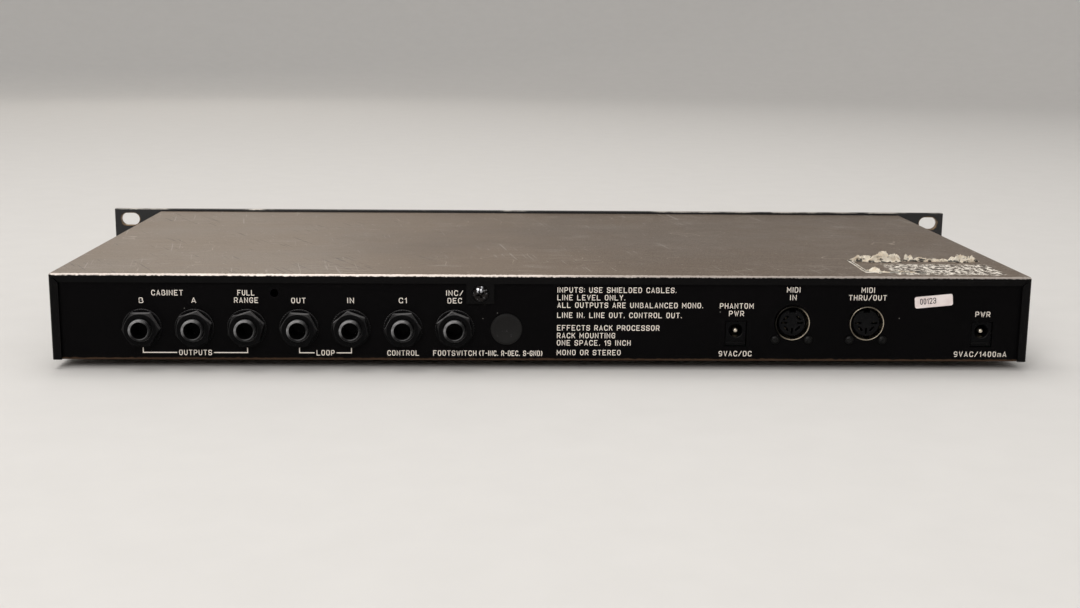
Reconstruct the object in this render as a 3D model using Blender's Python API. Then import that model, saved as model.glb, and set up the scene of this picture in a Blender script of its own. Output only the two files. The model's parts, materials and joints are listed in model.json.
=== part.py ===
"""A rack effects unit one rack space high, modelled as the separate pieces it comes apart into.

Lengths are metres and +Z is up. The front panel faces -Y and the sockets are at the back, at +Y.
The origin is the middle of the unit's footprint, on the surface that its rubber feet stand on.
Every piece is drawn with y measured back from the panel's front face, and the empty called unit
carries them all to the origin.
"""

import math

import bmesh
import bpy
from mathutils import Matrix, Vector

MM = 0.001
GAP = 0.3 * MM  # clearance that neighbouring pieces keep

# Rack panel, to the 19-inch standard
PANEL_WIDTH = 482.6 * MM
PANEL_HEIGHT = 43.7 * MM
PANEL_THICKNESS = 3.2 * MM
PANEL_LIFT = 0.5 * MM  # the panel's lower edge clears the table by this much
PANEL_MIDDLE = PANEL_LIFT + PANEL_HEIGHT / 2
SLOT_SPREAD = Vector((465.1 * MM, 31.75 * MM))
SLOT_LENGTH = 10.4 * MM
SLOT_WIDTH = 7.0 * MM

# Folded steel case behind the panel
CASE_WIDTH = 431.0 * MM
CASE_HEIGHT = 38.5 * MM
COVER_LENGTH = 209.7 * MM
SHEET = 1.2 * MM
LIP = 4.0 * MM  # border that the cover folds round the back of the tray
FOOT_HEIGHT = 4.3 * MM
FLANGE_HEIGHT = 8.0 * MM

KNOB_REACH = 16.0 * MM  # how far the knobs stand out of the panel
JACK_REACH = 5.0 * MM  # how far the jack bushings stand out of the cover's back edge

COVER_FRONT = PANEL_THICKNESS + GAP
CASE_BACK = COVER_FRONT + COVER_LENGTH
CASE_TOP = FOOT_HEIGHT + CASE_HEIGHT
WALL_OUT = CASE_BACK - SHEET - GAP  # outer face of the tray's back wall
WALL_IN = WALL_OUT - SHEET
TRAY_WIDTH = CASE_WIDTH - 2 * (SHEET + GAP)
TRAY_TOP = CASE_TOP - SHEET - GAP
FLOOR = FOOT_HEIGHT + SHEET
PANEL_FRONT = (KNOB_REACH - CASE_BACK - JACK_REACH) / 2  # where the panel's front face ends up

# Main circuit board, which sets the height of everything at the back
BOARD = 1.6 * MM
BOARD_TOP = 10.8 * MM
BOARD_FRONT = 32.0 * MM
BOARD_BACK = 206.0 * MM
BOARD_WIDTH = 408.0 * MM

# Quarter-inch jacks along the back, as (name, how far its nut is turned in degrees)
JACKS = (
    ("cabinet_b", 0),
    ("cabinet_a", -18),
    ("full_range", -16),
    ("loop_out", 4),
    ("loop_in", 21),
    ("control", -2),
    ("footswitch", 21),
)
JACK_X = 176.3 * MM  # the first jack, nearest the +X side
JACK_PITCH = 22.75 * MM
JACK_Z = 18.4 * MM
JACK_WIDTH = 14.4 * MM
JACK_DEPTH = 22.0 * MM
BUSHING_R = 4.8 * MM
BORE_R = 3.25 * MM
MOUTH_R = 4.0 * MM
NUT_FLATS = 14.2 * MM
NUT_THICKNESS = 3.0 * MM
WASHER_R = 8.65 * MM
WASHER = 0.6 * MM
PLUG_X = JACK_X - 7 * JACK_PITCH  # the eighth hole in the row is blanked off
PLUG_R = 7.0 * MM
PLUG_HOLE_R = 5.6 * MM

# Other sockets at the back, as (name, x)
POWER_SOCKETS = (("aux_power", -84.7 * MM), ("power", -194.9 * MM))
POWER_SIZE = Vector((9.0 * MM, 14.0 * MM, 10.8 * MM))
POWER_HOLE_R = 3.0 * MM
POWER_PIN_R = 1.05 * MM
DATA_SOCKETS = (("data_in", -109.7 * MM), ("data_out", -142.9 * MM))
DATA_Z = 21.5 * MM
DATA_HOUSING = Vector((20.6 * MM, 13.0 * MM, 20.0 * MM))
SHELL_R = 7.7 * MM
SHELL_WALL = 0.5 * MM
INSERT_R = 5.9 * MM
PIN_CIRCLE_R = 3.6 * MM
PIN_ANGLES = (-90, -45, 0, 45, 90)  # five contacts, counted from straight down
PIN_HOLE_R = 0.8 * MM
DATA_SCREW = Vector((7.4 * MM, -7.5 * MM))  # from the socket's centre
DATA_SCREW_HEAD_R = 1.95 * MM
DATA_SCREW_SHANK_R = 1.0 * MM

# Screws
SCREW_HEAD_R = 3.55 * MM
SCREW_HEAD = 2.2 * MM
SCREW_SHANK_R = 1.45 * MM
SCREW_HOLE_R = 1.8 * MM
BACK_SCREW = Vector((28.6 * MM, 34.5 * MM))
SPARE_HOLE = Vector((118.5 * MM, 34.1 * MM))
TAB_WIDTH = 12.2 * MM
TAB_BOTTOM = 29.9 * MM
SIDE_SCREW_Y = (38.0 * MM, 178.0 * MM)
SIDE_SCREW_Z = FOOT_HEIGHT + 5.0 * MM

# Front controls, as x positions
INPUT_X = -200.0 * MM
CONTROLS = (
    ("input_level", -172.0 * MM, 7.6 * MM),
    ("output_level", -144.0 * MM, 7.6 * MM),
    ("preset", 130.0 * MM, 10.6 * MM),
)
BUTTONS = (("bypass", 14.0 * MM), ("edit", 36.0 * MM), ("store", 58.0 * MM), ("exit", 80.0 * MM))
BUTTON_SIZE = Vector((10.0 * MM, 6.0 * MM))
BUTTON_REACH = 2.4 * MM
BUTTON_TRAVEL = 1.2 * MM
METER_X = -112.0 * MM
METER_SIZE = Vector((30.0 * MM, 7.0 * MM))
DISPLAY_X = -48.0 * MM
DISPLAY_SIZE = Vector((72.0 * MM, 20.0 * MM))
SWITCH_X = 190.0 * MM
SWITCH_FRAME = Vector((15.0 * MM, 21.0 * MM))
SWITCH_BODY = Vector((12.8 * MM, 19.2 * MM))
SWITCH_CAVITY = Vector((10.0 * MM, 17.6 * MM))
SWITCH_DEPTH = 14.0 * MM
ROCKER_PIVOT_Y = 5.0 * MM
ROCKER_TILT = 8.0  # degrees either side of level

# Control shafts and the board behind the panel
SHAFT_R = 3.0 * MM
SHAFT_BORE_R = SHAFT_R + GAP
POT_BUSHING_R = 4.0 * MM
POT_WIDTH = 13.0 * MM
POT_FRONT = 6.0 * MM
CONTROL_BOARD_Y = 14.3 * MM
KNOB_CLEARANCE = 0.8 * MM


# Ribbon cable from the upright board to the main board
RIBBON_X = 20.0 * MM
RIBBON_HIGH = 28.0 * MM
RIBBON_WIDTH = 26.0 * MM
RIBBON_THICKNESS = 1.0 * MM
RIBBON_LANDING = BOARD_FRONT + 14.0 * MM


# ---------------------------------------------------------------- shape tools


def mesh_of(bm):
    """Close the bmesh off as a mesh whose faces point outwards."""
    bmesh.ops.recalc_face_normals(bm, faces=bm.faces)
    mesh = bpy.data.meshes.new("shape")
    bm.to_mesh(mesh)
    bm.free()
    return mesh


def box(low, high):
    """A rectangular block between two opposite corners."""
    low, high = Vector(low), Vector(high)
    bm = bmesh.new()
    bmesh.ops.create_cube(bm, size=1.0)
    bmesh.ops.scale(bm, vec=high - low, verts=bm.verts)
    bmesh.ops.translate(bm, vec=(low + high) / 2, verts=bm.verts)
    return mesh_of(bm)


def lathe(profile, segments=20, closed=False):
    """Turn (radius, y) points about the Y axis. A closed profile makes a ring with a hole through it."""
    bm = bmesh.new()
    rings = []
    for radius, y in profile:
        count = segments if radius > 0 else 1
        turns = [2 * math.pi * (i + 0.5) / segments for i in range(count)]
        rings.append([bm.verts.new((radius * math.cos(a), y, radius * math.sin(a))) for a in turns])
    pairs = list(zip(rings, rings[1:]))
    if closed:
        pairs.append((rings[-1], rings[0]))
    for near, far in pairs:
        if len(near) == len(far) == 1:
            continue
        for i in range(segments):
            j = (i + 1) % segments
            corners = near[i % len(near)], near[j % len(near)], far[j % len(far)], far[i % len(far)]
            bm.faces.new(dict.fromkeys(corners))
    return mesh_of(bm)


def prism(outline, start, end, axis="Y"):
    """Extrude a flat outline along an axis. Its points are (x, z) along Y, (y, z) along X, (x, y) along Z."""
    slot = "XYZ".index(axis)
    bm = bmesh.new()

    def corner(point, along):
        place = list(point)
        place.insert(slot, along)
        return bm.verts.new(place)

    near = [corner(point, start) for point in outline]
    far = [corner(point, end) for point in outline]
    bm.faces.new(near)
    bm.faces.new(far)
    for i in range(len(outline)):
        j = (i + 1) % len(outline)
        bm.faces.new((near[i], near[j], far[j], far[i]))
    return mesh_of(bm)


def together(*meshes):
    """Several separate closed shapes as one mesh, for use as a tool."""
    bm = bmesh.new()
    for mesh in meshes:
        bm.from_mesh(mesh)
    return mesh_of(bm)


def moved(mesh, offset, turn=0.0, axis="Y"):
    """A copy of the mesh, turned in degrees about an axis through the origin and then shifted."""
    copy = mesh.copy()
    copy.transform(Matrix.Translation(offset) @ Matrix.Rotation(math.radians(turn), 4, axis))
    return copy


def boolean(body, tool, operation):
    """The mesh that is left when a Boolean modifier works the tool into the body."""
    target, cutter = (bpy.data.objects.new(name, mesh) for name, mesh in (("body", body), ("tool", tool)))
    for obj in (target, cutter):
        bpy.context.scene.collection.objects.link(obj)
    modifier = target.modifiers.new("boolean", "BOOLEAN")
    modifier.operation = operation
    modifier.object = cutter
    graph = bpy.context.evaluated_depsgraph_get()
    result = bpy.data.meshes.new_from_object(target.evaluated_get(graph))
    for obj in (target, cutter):
        bpy.data.objects.remove(obj)
    return result


def cut(body, *tools):
    return boolean(body, together(*tools), "DIFFERENCE")


def join(body, *others):
    for other in others:
        body = boolean(body, other, "UNION")
    return body


def round_tool(radius, x, z, start, end, segments=20):
    """A cylinder along Y, to drill a hole with."""
    return moved(lathe(((0, start), (radius, start), (radius, end), (0, end)), segments), (x, 0, z))


def upright(radius, x, y, bottom, top, segments=12):
    """A cylinder along Z."""
    turns = [2 * math.pi * i / segments for i in range(segments)]
    outline = [(x + radius * math.cos(a), y + radius * math.sin(a)) for a in turns]
    return prism(outline, bottom, top, "Z")


def slot_outline(length, width, segments=8):
    """A flat slot with round ends, centred on the origin."""
    points = []
    for side in (1, -1):
        for i in range(segments + 1):
            angle = math.radians(-90 + 180 * i / segments)
            x = (length - width) / 2 + width / 2 * math.cos(angle)
            points.append((side * x, side * width / 2 * math.sin(angle)))
    return points


def rectangle(x, z, size, start, end, spare=0.0):
    """A block along Y with its face centred at (x, z), larger than size by spare all round."""
    half = Vector((size[0] / 2 + spare, size[1] / 2 + spare))
    return box((x - half.x, start, z - half.y), (x + half.x, end, z + half.y))


# ---------------------------------------------------------------- scene tools


def clear_scene():
    for obj in list(bpy.data.objects):
        bpy.data.objects.remove(obj)


def material(name, colour, roughness, metallic=0.0):
    """A Principled material, made once."""
    found = bpy.data.materials.get(name)
    if found:
        return found
    made = bpy.data.materials.new(name)
    made.use_nodes = True
    shader = made.node_tree.nodes["Principled BSDF"]
    shader.inputs["Base Color"].default_value = (*colour, 1.0)
    shader.inputs["Roughness"].default_value = roughness
    shader.inputs["Metallic"].default_value = metallic
    return made


def black_paint():
    return material("black_paint", (0.012, 0.012, 0.013), 0.5)


def cover_paint():
    return material("cover_paint", (0.075, 0.068, 0.062), 0.38)


def black_plastic():
    return material("black_plastic", (0.015, 0.015, 0.016), 0.45)


def zinc():
    return material("zinc", (0.45, 0.44, 0.42), 0.3, 1.0)


def black_screw():
    return material("black_screw", (0.03, 0.03, 0.03), 0.4, 0.6)


def add(name, mesh, finish, location=(0, 0, 0)):
    """One named piece, shaded smooth except at its sharp edges and carried by the unit's empty."""
    piece = bpy.data.objects.new(name, mesh)
    bpy.context.scene.collection.objects.link(piece)
    piece.parent = bpy.data.objects["unit"]
    piece.location = location
    if not mesh.materials:
        mesh.materials.append(finish)
    mesh.shade_smooth()
    mesh.set_sharp_from_angle(angle=math.radians(35))
    return piece


# ---------------------------------------------------------------- case


def front_panel():
    """Flat rack panel: four mounting slots in its ears, and a hole for each front control."""
    half = PANEL_WIDTH / 2
    plate = box((-half, 0, PANEL_LIFT), (half, PANEL_THICKNESS, PANEL_LIFT + PANEL_HEIGHT))
    start, end = -MM, PANEL_THICKNESS + MM
    slot = prism(slot_outline(SLOT_LENGTH, SLOT_WIDTH), start, end)
    tools = [
        moved(slot, (side * SLOT_SPREAD.x / 2, 0, PANEL_MIDDLE + level * SLOT_SPREAD.y / 2))
        for side in (-1, 1)
        for level in (-1, 1)
    ]
    tools.append(round_tool(BUSHING_R + GAP, INPUT_X, PANEL_MIDDLE, start, end))
    for _, x, _ in CONTROLS:
        tools.append(round_tool(POT_BUSHING_R + GAP, x, PANEL_MIDDLE, start, end))
    for _, x in BUTTONS:
        tools.append(rectangle(x, PANEL_MIDDLE, BUTTON_SIZE, start, end, GAP))
    tools.append(rectangle(METER_X, PANEL_MIDDLE, METER_SIZE, start, end, GAP))
    tools.append(rectangle(DISPLAY_X, PANEL_MIDDLE, DISPLAY_SIZE, start, end, GAP))
    tools.append(rectangle(SWITCH_X, PANEL_MIDDLE, SWITCH_BODY, start, end, GAP))
    add("front_panel", cut(plate, *tools), material("panel_paint", (0.01, 0.01, 0.012), 0.35))


def chassis_tray():
    """Folded tray: floor, a low flange along three sides and the posts under the main board."""
    half = TRAY_WIDTH / 2
    rear = WALL_IN - GAP
    flange_top = FOOT_HEIGHT + FLANGE_HEIGHT
    root = FOOT_HEIGHT + SHEET / 2
    tray = box((-half, COVER_FRONT, FOOT_HEIGHT), (half, rear, FLOOR))
    tray = join(tray, box((-half, COVER_FRONT, root), (half, COVER_FRONT + SHEET, flange_top)))
    for side in (-1, 1):
        inner, outer = sorted((side * half, side * (half - SHEET)))
        tray = join(tray, box((inner, COVER_FRONT + SHEET / 2, root), (outer, rear, flange_top)))
    for x in (-195 * MM, 0, 195 * MM):
        for y in (BOARD_FRONT + 8 * MM, BOARD_FRONT + 130 * MM):
            tray = join(tray, upright(3 * MM, x, y, root, BOARD_TOP - BOARD - GAP))
    add("chassis_tray", cut(tray, *side_hole_tools()), black_paint())


def back_plate():
    """Flat plate across the back of the tray, with a hole for every socket and screw."""
    half = TRAY_WIDTH / 2
    plate = box((-half, WALL_IN, FOOT_HEIGHT), (half, WALL_OUT, TRAY_TOP))
    add("back_plate", cut(plate, *back_plate_tools()), black_paint())


def back_plate_tools():
    """Cutters for every hole in the back plate."""
    start, end = WALL_IN - MM, WALL_OUT + MM
    tools = [
        round_tool(BUSHING_R + GAP, JACK_X - i * JACK_PITCH, JACK_Z, start, end) for i in range(len(JACKS))
    ]
    tools.append(round_tool(PLUG_HOLE_R, PLUG_X, JACK_Z, start, end))
    for _, x in POWER_SOCKETS:
        size = (POWER_SIZE.x, POWER_SIZE.z)
        tools.append(rectangle(x, BOARD_TOP + GAP + POWER_SIZE.z / 2, size, start, end, GAP))
    for _, x in DATA_SOCKETS:
        tools.append(round_tool(SHELL_R + GAP, x, DATA_Z, start, end, 28))
        for side in (-1, 1):
            screw_x, screw_z = x + side * DATA_SCREW.x, DATA_Z + DATA_SCREW.y
            tools.append(round_tool(DATA_SCREW_SHANK_R + GAP, screw_x, screw_z, start, end, 12))
    for hole in (BACK_SCREW, SPARE_HOLE):
        tools.append(round_tool(SCREW_HOLE_R, hole.x, hole.y, start, end, 16))
    return tools


def side_hole_tools():
    """Cutters for the cover screws' holes in both sides, which run through the cover and the tray."""
    reach = SHEET * 2 + MM
    drill = lathe(((0, 0), (SCREW_HOLE_R, 0), (SCREW_HOLE_R, 2 * reach), (0, 2 * reach)), 12)
    tools = []
    for side in (-1, 1):
        for y in SIDE_SCREW_Y:
            turned = moved(drill, (0, 0, 0), 90 * side, "Z")
            tools.append(moved(turned, (side * (CASE_WIDTH / 2 + reach), y, SIDE_SCREW_Z)))
    return tools


def top_cover():
    """Folded cover: top and two sides, with a lip round the back and one screwed tab."""
    half = CASE_WIDTH / 2
    outer = (
        (-half, FOOT_HEIGHT),
        (-half, CASE_TOP),
        (half, CASE_TOP),
        (half, FOOT_HEIGHT),
        (half - SHEET, FOOT_HEIGHT),
        (half - SHEET, CASE_TOP - SHEET),
        (SHEET - half, CASE_TOP - SHEET),
        (SHEET - half, FOOT_HEIGHT),
    )
    shell = prism(outer, COVER_FRONT, CASE_BACK - SHEET / 2)
    tab_left, tab_right = BACK_SCREW.x + TAB_WIDTH / 2, BACK_SCREW.x - TAB_WIDTH / 2
    lip = (
        (-half, FOOT_HEIGHT),
        (-half, CASE_TOP),
        (half, CASE_TOP),
        (half, FOOT_HEIGHT),
        (half - LIP, FOOT_HEIGHT),
        (half - LIP, CASE_TOP - LIP),
        (tab_left, CASE_TOP - LIP),
        (tab_left, TAB_BOTTOM),
        (tab_right, TAB_BOTTOM),
        (tab_right, CASE_TOP - LIP),
        (LIP - half, CASE_TOP - LIP),
        (LIP - half, FOOT_HEIGHT),
    )
    shell = join(shell, prism(lip, CASE_BACK - SHEET, CASE_BACK))
    screw_hole = round_tool(SCREW_HOLE_R, BACK_SCREW.x, BACK_SCREW.y, CASE_BACK - 2 * MM, CASE_BACK + MM, 12)
    add("top_cover", cut(shell, screw_hole, *side_hole_tools()), cover_paint())


def feet():
    """Four low rubber feet, well in from the edges."""
    radius = 8.0 * MM
    top = FOOT_HEIGHT - GAP
    foot = lathe(((0, 0), (radius - MM, 0), (radius, 1.2 * MM), (radius, top), (0, top)), 20)
    foot = moved(foot, (0, 0, 0), 90, "X")
    for end, y in (("front", 30 * MM), ("rear", 178 * MM)):
        for side, x in (("left", -180 * MM), ("right", 180 * MM)):
            add(f"foot_{end}_{side}", foot, material("rubber", (0.02, 0.02, 0.02), 0.85), (x, y, 0))


def screws():
    """Cross-head screws that hold the cover: one through the back tab and two in each side."""
    shank_end = -5.0 * MM
    profile = (
        (0, shank_end),
        (SCREW_SHANK_R, shank_end),
        (SCREW_SHANK_R, GAP),
        (SCREW_HEAD_R, GAP),
        (SCREW_HEAD_R, GAP + 0.9 * MM),
        (SCREW_HEAD_R * 0.7, GAP + SCREW_HEAD * 0.9),
        (0, GAP + SCREW_HEAD),
    )
    arm, depth = 1.9 * MM, 1.3 * MM
    top = GAP + SCREW_HEAD
    sizes = ((2 * arm, 0.8 * MM), (0.8 * MM, 2 * arm))
    blades = [rectangle(0, 0, size, top - depth, top + MM) for size in sizes]
    screw = cut(lathe(profile, 16), join(*blades))
    steel = material("screw_steel", (0.18, 0.17, 0.16), 0.35, 1.0)
    add("back_screw", screw, steel, (BACK_SCREW.x, CASE_BACK, BACK_SCREW.y))
    for side, name in ((1, "right"), (-1, "left")):
        turned = moved(screw, (0, 0, 0), -90 * side, "Z")
        for end, y in zip(("front", "rear"), SIDE_SCREW_Y):
            add(f"side_screw_{name}_{end}", turned, steel, (side * CASE_WIDTH / 2, y, SIDE_SCREW_Z))


# ---------------------------------------------------------------- sockets


def jack_mesh(wall_in, reach):
    """A quarter-inch jack along +Y: a block behind the wall and a bushing that stands out to reach."""
    half = JACK_WIDTH / 2
    block = box((-half, wall_in - GAP - JACK_DEPTH, -half), (half, wall_in - GAP, half))
    bushing = lathe(
        (
            (0, wall_in - 4 * MM),
            (BUSHING_R, wall_in - 4 * MM),
            (BUSHING_R, reach - 0.4 * MM),
            (BUSHING_R - 0.4 * MM, reach),
            (0, reach),
        )
    )
    bottom = wall_in - JACK_DEPTH + 3 * MM
    bore = lathe(
        (
            (0, bottom),
            (BORE_R, bottom),
            (BORE_R, reach - 1.8 * MM),
            (MOUTH_R, reach + 0.1 * MM),
            (0, reach + MM),
        )
    )
    return cut(join(block, bushing), bore)


def nut_mesh(face):
    """A hexagon nut with its washer, seated on a wall face at y = face."""
    corner_r = NUT_FLATS / 2 / math.cos(math.radians(30))
    corners = [math.radians(60 * i) for i in range(6)]
    outline = [(corner_r * math.cos(a), corner_r * math.sin(a)) for a in corners]
    base = face + GAP
    washer = lathe(((0, base), (WASHER_R, base), (WASHER_R, base + WASHER), (0, base + WASHER)), 24)
    nut = join(prism(outline, base + WASHER / 2, base + WASHER + NUT_THICKNESS), washer)
    return cut(nut, round_tool(BUSHING_R + GAP, 0, 0, face - MM, face + 6 * MM))


def back_jacks():
    """The row of jacks along the back, each with its own nut."""
    jack = jack_mesh(WALL_IN, CASE_BACK + JACK_REACH)
    for i, (name, nut_turn) in enumerate(JACKS):
        place = (JACK_X - i * JACK_PITCH, 0, JACK_Z)
        add(f"{name}_jack", jack, black_plastic(), place)
        add(f"{name}_nut", moved(nut_mesh(WALL_OUT), (0, 0, 0), nut_turn), black_plastic(), place)


def input_jack():
    """The instrument input, the same kind of jack turned to face the front."""
    reach = 5.6 * MM
    behind = -(COVER_FRONT + SHEET)
    place = (INPUT_X, 0, PANEL_MIDDLE)
    add("input_jack", moved(jack_mesh(behind, reach), (0, 0, 0), 180, "Z"), black_plastic(), place)
    add("input_nut", moved(nut_mesh(0), (0, 0, 0), 180, "Z"), black_plastic(), place)


def hole_plug():
    """Snap-in blanking plug: a flat cap outside the wall and a barrel that flares behind it."""
    face = WALL_OUT + GAP
    barrel = PLUG_HOLE_R - GAP
    profile = (
        (0, WALL_IN - 3 * MM),
        (barrel - 0.6 * MM, WALL_IN - 3 * MM),
        (barrel, WALL_IN - MM),
        (barrel, face),
        (PLUG_R, face),
        (PLUG_R, face + 0.5 * MM),
        (PLUG_R - 0.4 * MM, face + 0.8 * MM),
        (0, face + 0.8 * MM),
    )
    grey = material("plug_plastic", (0.03, 0.03, 0.03), 0.6)
    add("hole_plug", lathe(profile, 24), grey, (PLUG_X, 0, JACK_Z))


def power_sockets():
    """Barrel sockets for the power adaptor: a square body with a centre pin standing in its round hole."""
    half = POWER_SIZE.x / 2
    face, rear = WALL_OUT - 0.4 * MM, WALL_OUT - 0.4 * MM - POWER_SIZE.y
    body = box((-half, rear, 0), (half, face, POWER_SIZE.z))
    hole_z = POWER_SIZE.z - 4.1 * MM
    bottom = face - 9.5 * MM
    pin_top = face - 0.8 * MM
    well = lathe(
        (
            (POWER_HOLE_R, bottom),
            (POWER_HOLE_R, face + MM),
            (0, face + MM),
            (0, pin_top),
            (POWER_PIN_R, pin_top),
            (POWER_PIN_R, bottom),
        ),
        16,
        closed=True,
    )
    socket = cut(body, moved(well, (0, 0, hole_z)))
    for name, x in POWER_SOCKETS:
        add(f"{name}_socket", socket, black_plastic(), (x, 0, BOARD_TOP + GAP))


def data_sockets():
    """Round five-pin sockets: a plastic housing with a keyed insert, inside a plain metal shell."""
    half = DATA_HOUSING / 2
    back = WALL_IN - GAP
    rear = back - DATA_HOUSING.y
    floor = rear + 3 * MM
    insert_face = WALL_OUT
    block = box((-half.x, rear, -half.z), (half.x, back, half.z))
    cavity = round_tool(SHELL_R + GAP, 0, 0, floor, back + MM, 28)
    insert = round_tool(INSERT_R, 0, 0, floor - MM, insert_face, 24)
    pins = [
        round_tool(
            PIN_HOLE_R,
            PIN_CIRCLE_R * math.sin(math.radians(a)),
            -PIN_CIRCLE_R * math.cos(math.radians(a)),
            insert_face - 6 * MM,
            insert_face + MM,
            8,
        )
        for a in PIN_ANGLES
    ]
    key = rectangle(0, INSERT_R, (3.0 * MM, 2.4 * MM), insert_face - 6 * MM, insert_face + MM)
    screw_holes = [
        round_tool(DATA_SCREW_SHANK_R + GAP, side * DATA_SCREW.x, DATA_SCREW.y, back - 6 * MM, back + MM, 12)
        for side in (-1, 1)
    ]
    housing = cut(join(cut(block, cavity), insert), key, *pins, *screw_holes)
    inner = SHELL_R - SHELL_WALL
    shell_ends = (floor + GAP, WALL_OUT + 1.0 * MM)
    shell = lathe(
        [(radius, y) for radius, y in ((inner, shell_ends[0]), (SHELL_R, shell_ends[0]))]
        + [(SHELL_R, shell_ends[1]), (inner, shell_ends[1])],
        28,
        closed=True,
    )
    for name, x in DATA_SOCKETS:
        add(f"{name}_socket", housing, black_plastic(), (x, 0, DATA_Z))
        add(f"{name}_shell", shell, zinc(), (x, 0, DATA_Z))
        for side, hand in ((-1, "left"), (1, "right")):
            place = (x + side * DATA_SCREW.x, WALL_OUT, DATA_Z + DATA_SCREW.y)
            add(f"{name}_screw_{hand}", data_screw_mesh(), black_screw(), place)


def data_screw_mesh():
    """A small slotted screw, seated at y = 0 with its shank towards -Y."""
    top = GAP + 1.1 * MM
    profile = (
        (0, -5 * MM),
        (DATA_SCREW_SHANK_R, -5 * MM),
        (DATA_SCREW_SHANK_R, GAP),
        (DATA_SCREW_HEAD_R, GAP),
        (DATA_SCREW_HEAD_R, top - 0.4 * MM),
        (DATA_SCREW_HEAD_R - 0.4 * MM, top),
        (0, top),
    )
    slot = moved(rectangle(0, 0, (5 * MM, 0.5 * MM), top - 0.6 * MM, top + MM), (0, 0, 0), 35)
    return cut(lathe(profile, 14), slot)


# ---------------------------------------------------------------- front controls


def rotary_controls():
    """Each rotary control is a fixed body, a shaft that turns in it and the knob on the shaft."""
    half = POT_WIDTH / 2
    rear = CONTROL_BOARD_Y - GAP
    bushing_end, shaft_end, shaft_root = 1.0 * MM, -12.0 * MM, rear - 2.3 * MM
    body = box((-half, POT_FRONT, -half), (half, rear, half))
    body = join(body, round_tool(POT_BUSHING_R, 0, 0, bushing_end, POT_FRONT + MM))
    body = cut(body, round_tool(SHAFT_BORE_R, 0, 0, bushing_end - MM, shaft_root + GAP))
    shaft = round_tool(SHAFT_R, 0, 0, shaft_end, shaft_root)
    flat = box((-SHAFT_R, shaft_end - MM, SHAFT_R * 0.5), (SHAFT_R, shaft_end + 8 * MM, SHAFT_R + MM))
    shaft = cut(shaft, flat)
    for name, x, radius in CONTROLS:
        place = (x, 0, PANEL_MIDDLE)
        add(f"{name}_control", body, zinc(), place)
        add(f"{name}_shaft", shaft, material("aluminium", (0.6, 0.6, 0.62), 0.35, 1.0), place)
        add(f"{name}_knob", knob_mesh(radius, shaft_end), black_plastic(), place)


def knob_mesh(radius, shaft_end):
    """A skirted knob with a blind bore for the shaft."""
    near, far = -KNOB_CLEARANCE, -KNOB_REACH
    grip = radius - 1.4 * MM
    return lathe(
        (
            (0, shaft_end - GAP),
            (SHAFT_BORE_R, shaft_end - GAP),
            (SHAFT_BORE_R, near),
            (radius, near),
            (radius, near - 1.8 * MM),
            (grip, near - 3.2 * MM),
            (grip - 0.4 * MM, far + 0.8 * MM),
            (grip - 1.2 * MM, far),
            (0, far),
        ),
        28,
    )


def push_buttons():
    """Square-ended push buttons, each with a flange that the panel keeps in and a stem to its switch."""
    half = BUTTON_SIZE / 2
    flange = half + Vector((1.2 * MM, 1.2 * MM))
    back = PANEL_THICKNESS + GAP
    stem = 2.0 * MM
    stem_end = CONTROL_BOARD_Y - 4.5 * MM - BUTTON_TRAVEL - GAP
    cap = box((-half.x, -BUTTON_REACH, -half.y), (half.x, back + SHEET / 2, half.y))
    cap = join(cap, box((-flange.x, back, -flange.y), (flange.x, back + SHEET, flange.y)))
    button = join(cap, box((-stem, back + SHEET / 2, -stem), (stem, stem_end, stem)))
    grey = material("button_plastic", (0.06, 0.06, 0.065), 0.5)
    for name, x in BUTTONS:
        add(f"{name}_button", button, grey, (x, 0, PANEL_MIDDLE))


def display():
    """Tinted window in the panel, with the display module behind it."""
    window = rectangle(DISPLAY_X, PANEL_MIDDLE, DISPLAY_SIZE, 0.4 * MM, PANEL_THICKNESS)
    add("display_window", window, material("smoked_lens", (0.02, 0.025, 0.02), 0.1))
    module_size = (80.0 * MM, 29.0 * MM)
    module = rectangle(DISPLAY_X, PANEL_MIDDLE, module_size, POT_FRONT, CONTROL_BOARD_Y - GAP)
    add("display_module", module, material("module_metal", (0.3, 0.3, 0.3), 0.4, 1.0))


def level_meter():
    """Bar of signal lamps in one moulded block."""
    block = rectangle(METER_X, PANEL_MIDDLE, METER_SIZE, -0.3 * MM, CONTROL_BOARD_Y - GAP)
    add("level_meter", block, material("meter_plastic", (0.03, 0.03, 0.03), 0.4))


def power_switch():
    """Rocker switch: a framed housing with a see-saw rocker in it, drawn in the off position."""
    body = rectangle(0, 0, SWITCH_BODY, -MM, SWITCH_DEPTH)
    frame = rectangle(0, 0, SWITCH_FRAME, -1.6 * MM, -GAP)
    cavity = rectangle(0, 0, SWITCH_CAVITY, -3 * MM, 10 * MM)
    place = (SWITCH_X, 0, PANEL_MIDDLE)
    add("switch_housing", cut(join(body, frame), cavity), black_plastic(), place)
    half = SWITCH_CAVITY.x / 2 - 0.4 * MM
    end, crest, heel = 7.6 * MM, -6.5 * MM, 3.0 * MM
    outline = (
        (crest, end),
        (crest + 2.3 * MM, 0),
        (crest, -end),
        (-1.5 * MM, -end),
        (heel, -heel),
        (heel, heel),
        (-1.5 * MM, end),
    )
    rocker = moved(prism(outline, -half, half, "X"), (0, 0, 0), ROCKER_TILT, "X")
    pivot = (SWITCH_X, ROCKER_PIVOT_Y, PANEL_MIDDLE)
    add("power_rocker", rocker, material("rocker_plastic", (0.03, 0.03, 0.03), 0.3), pivot)


# ---------------------------------------------------------------- electronics


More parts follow.
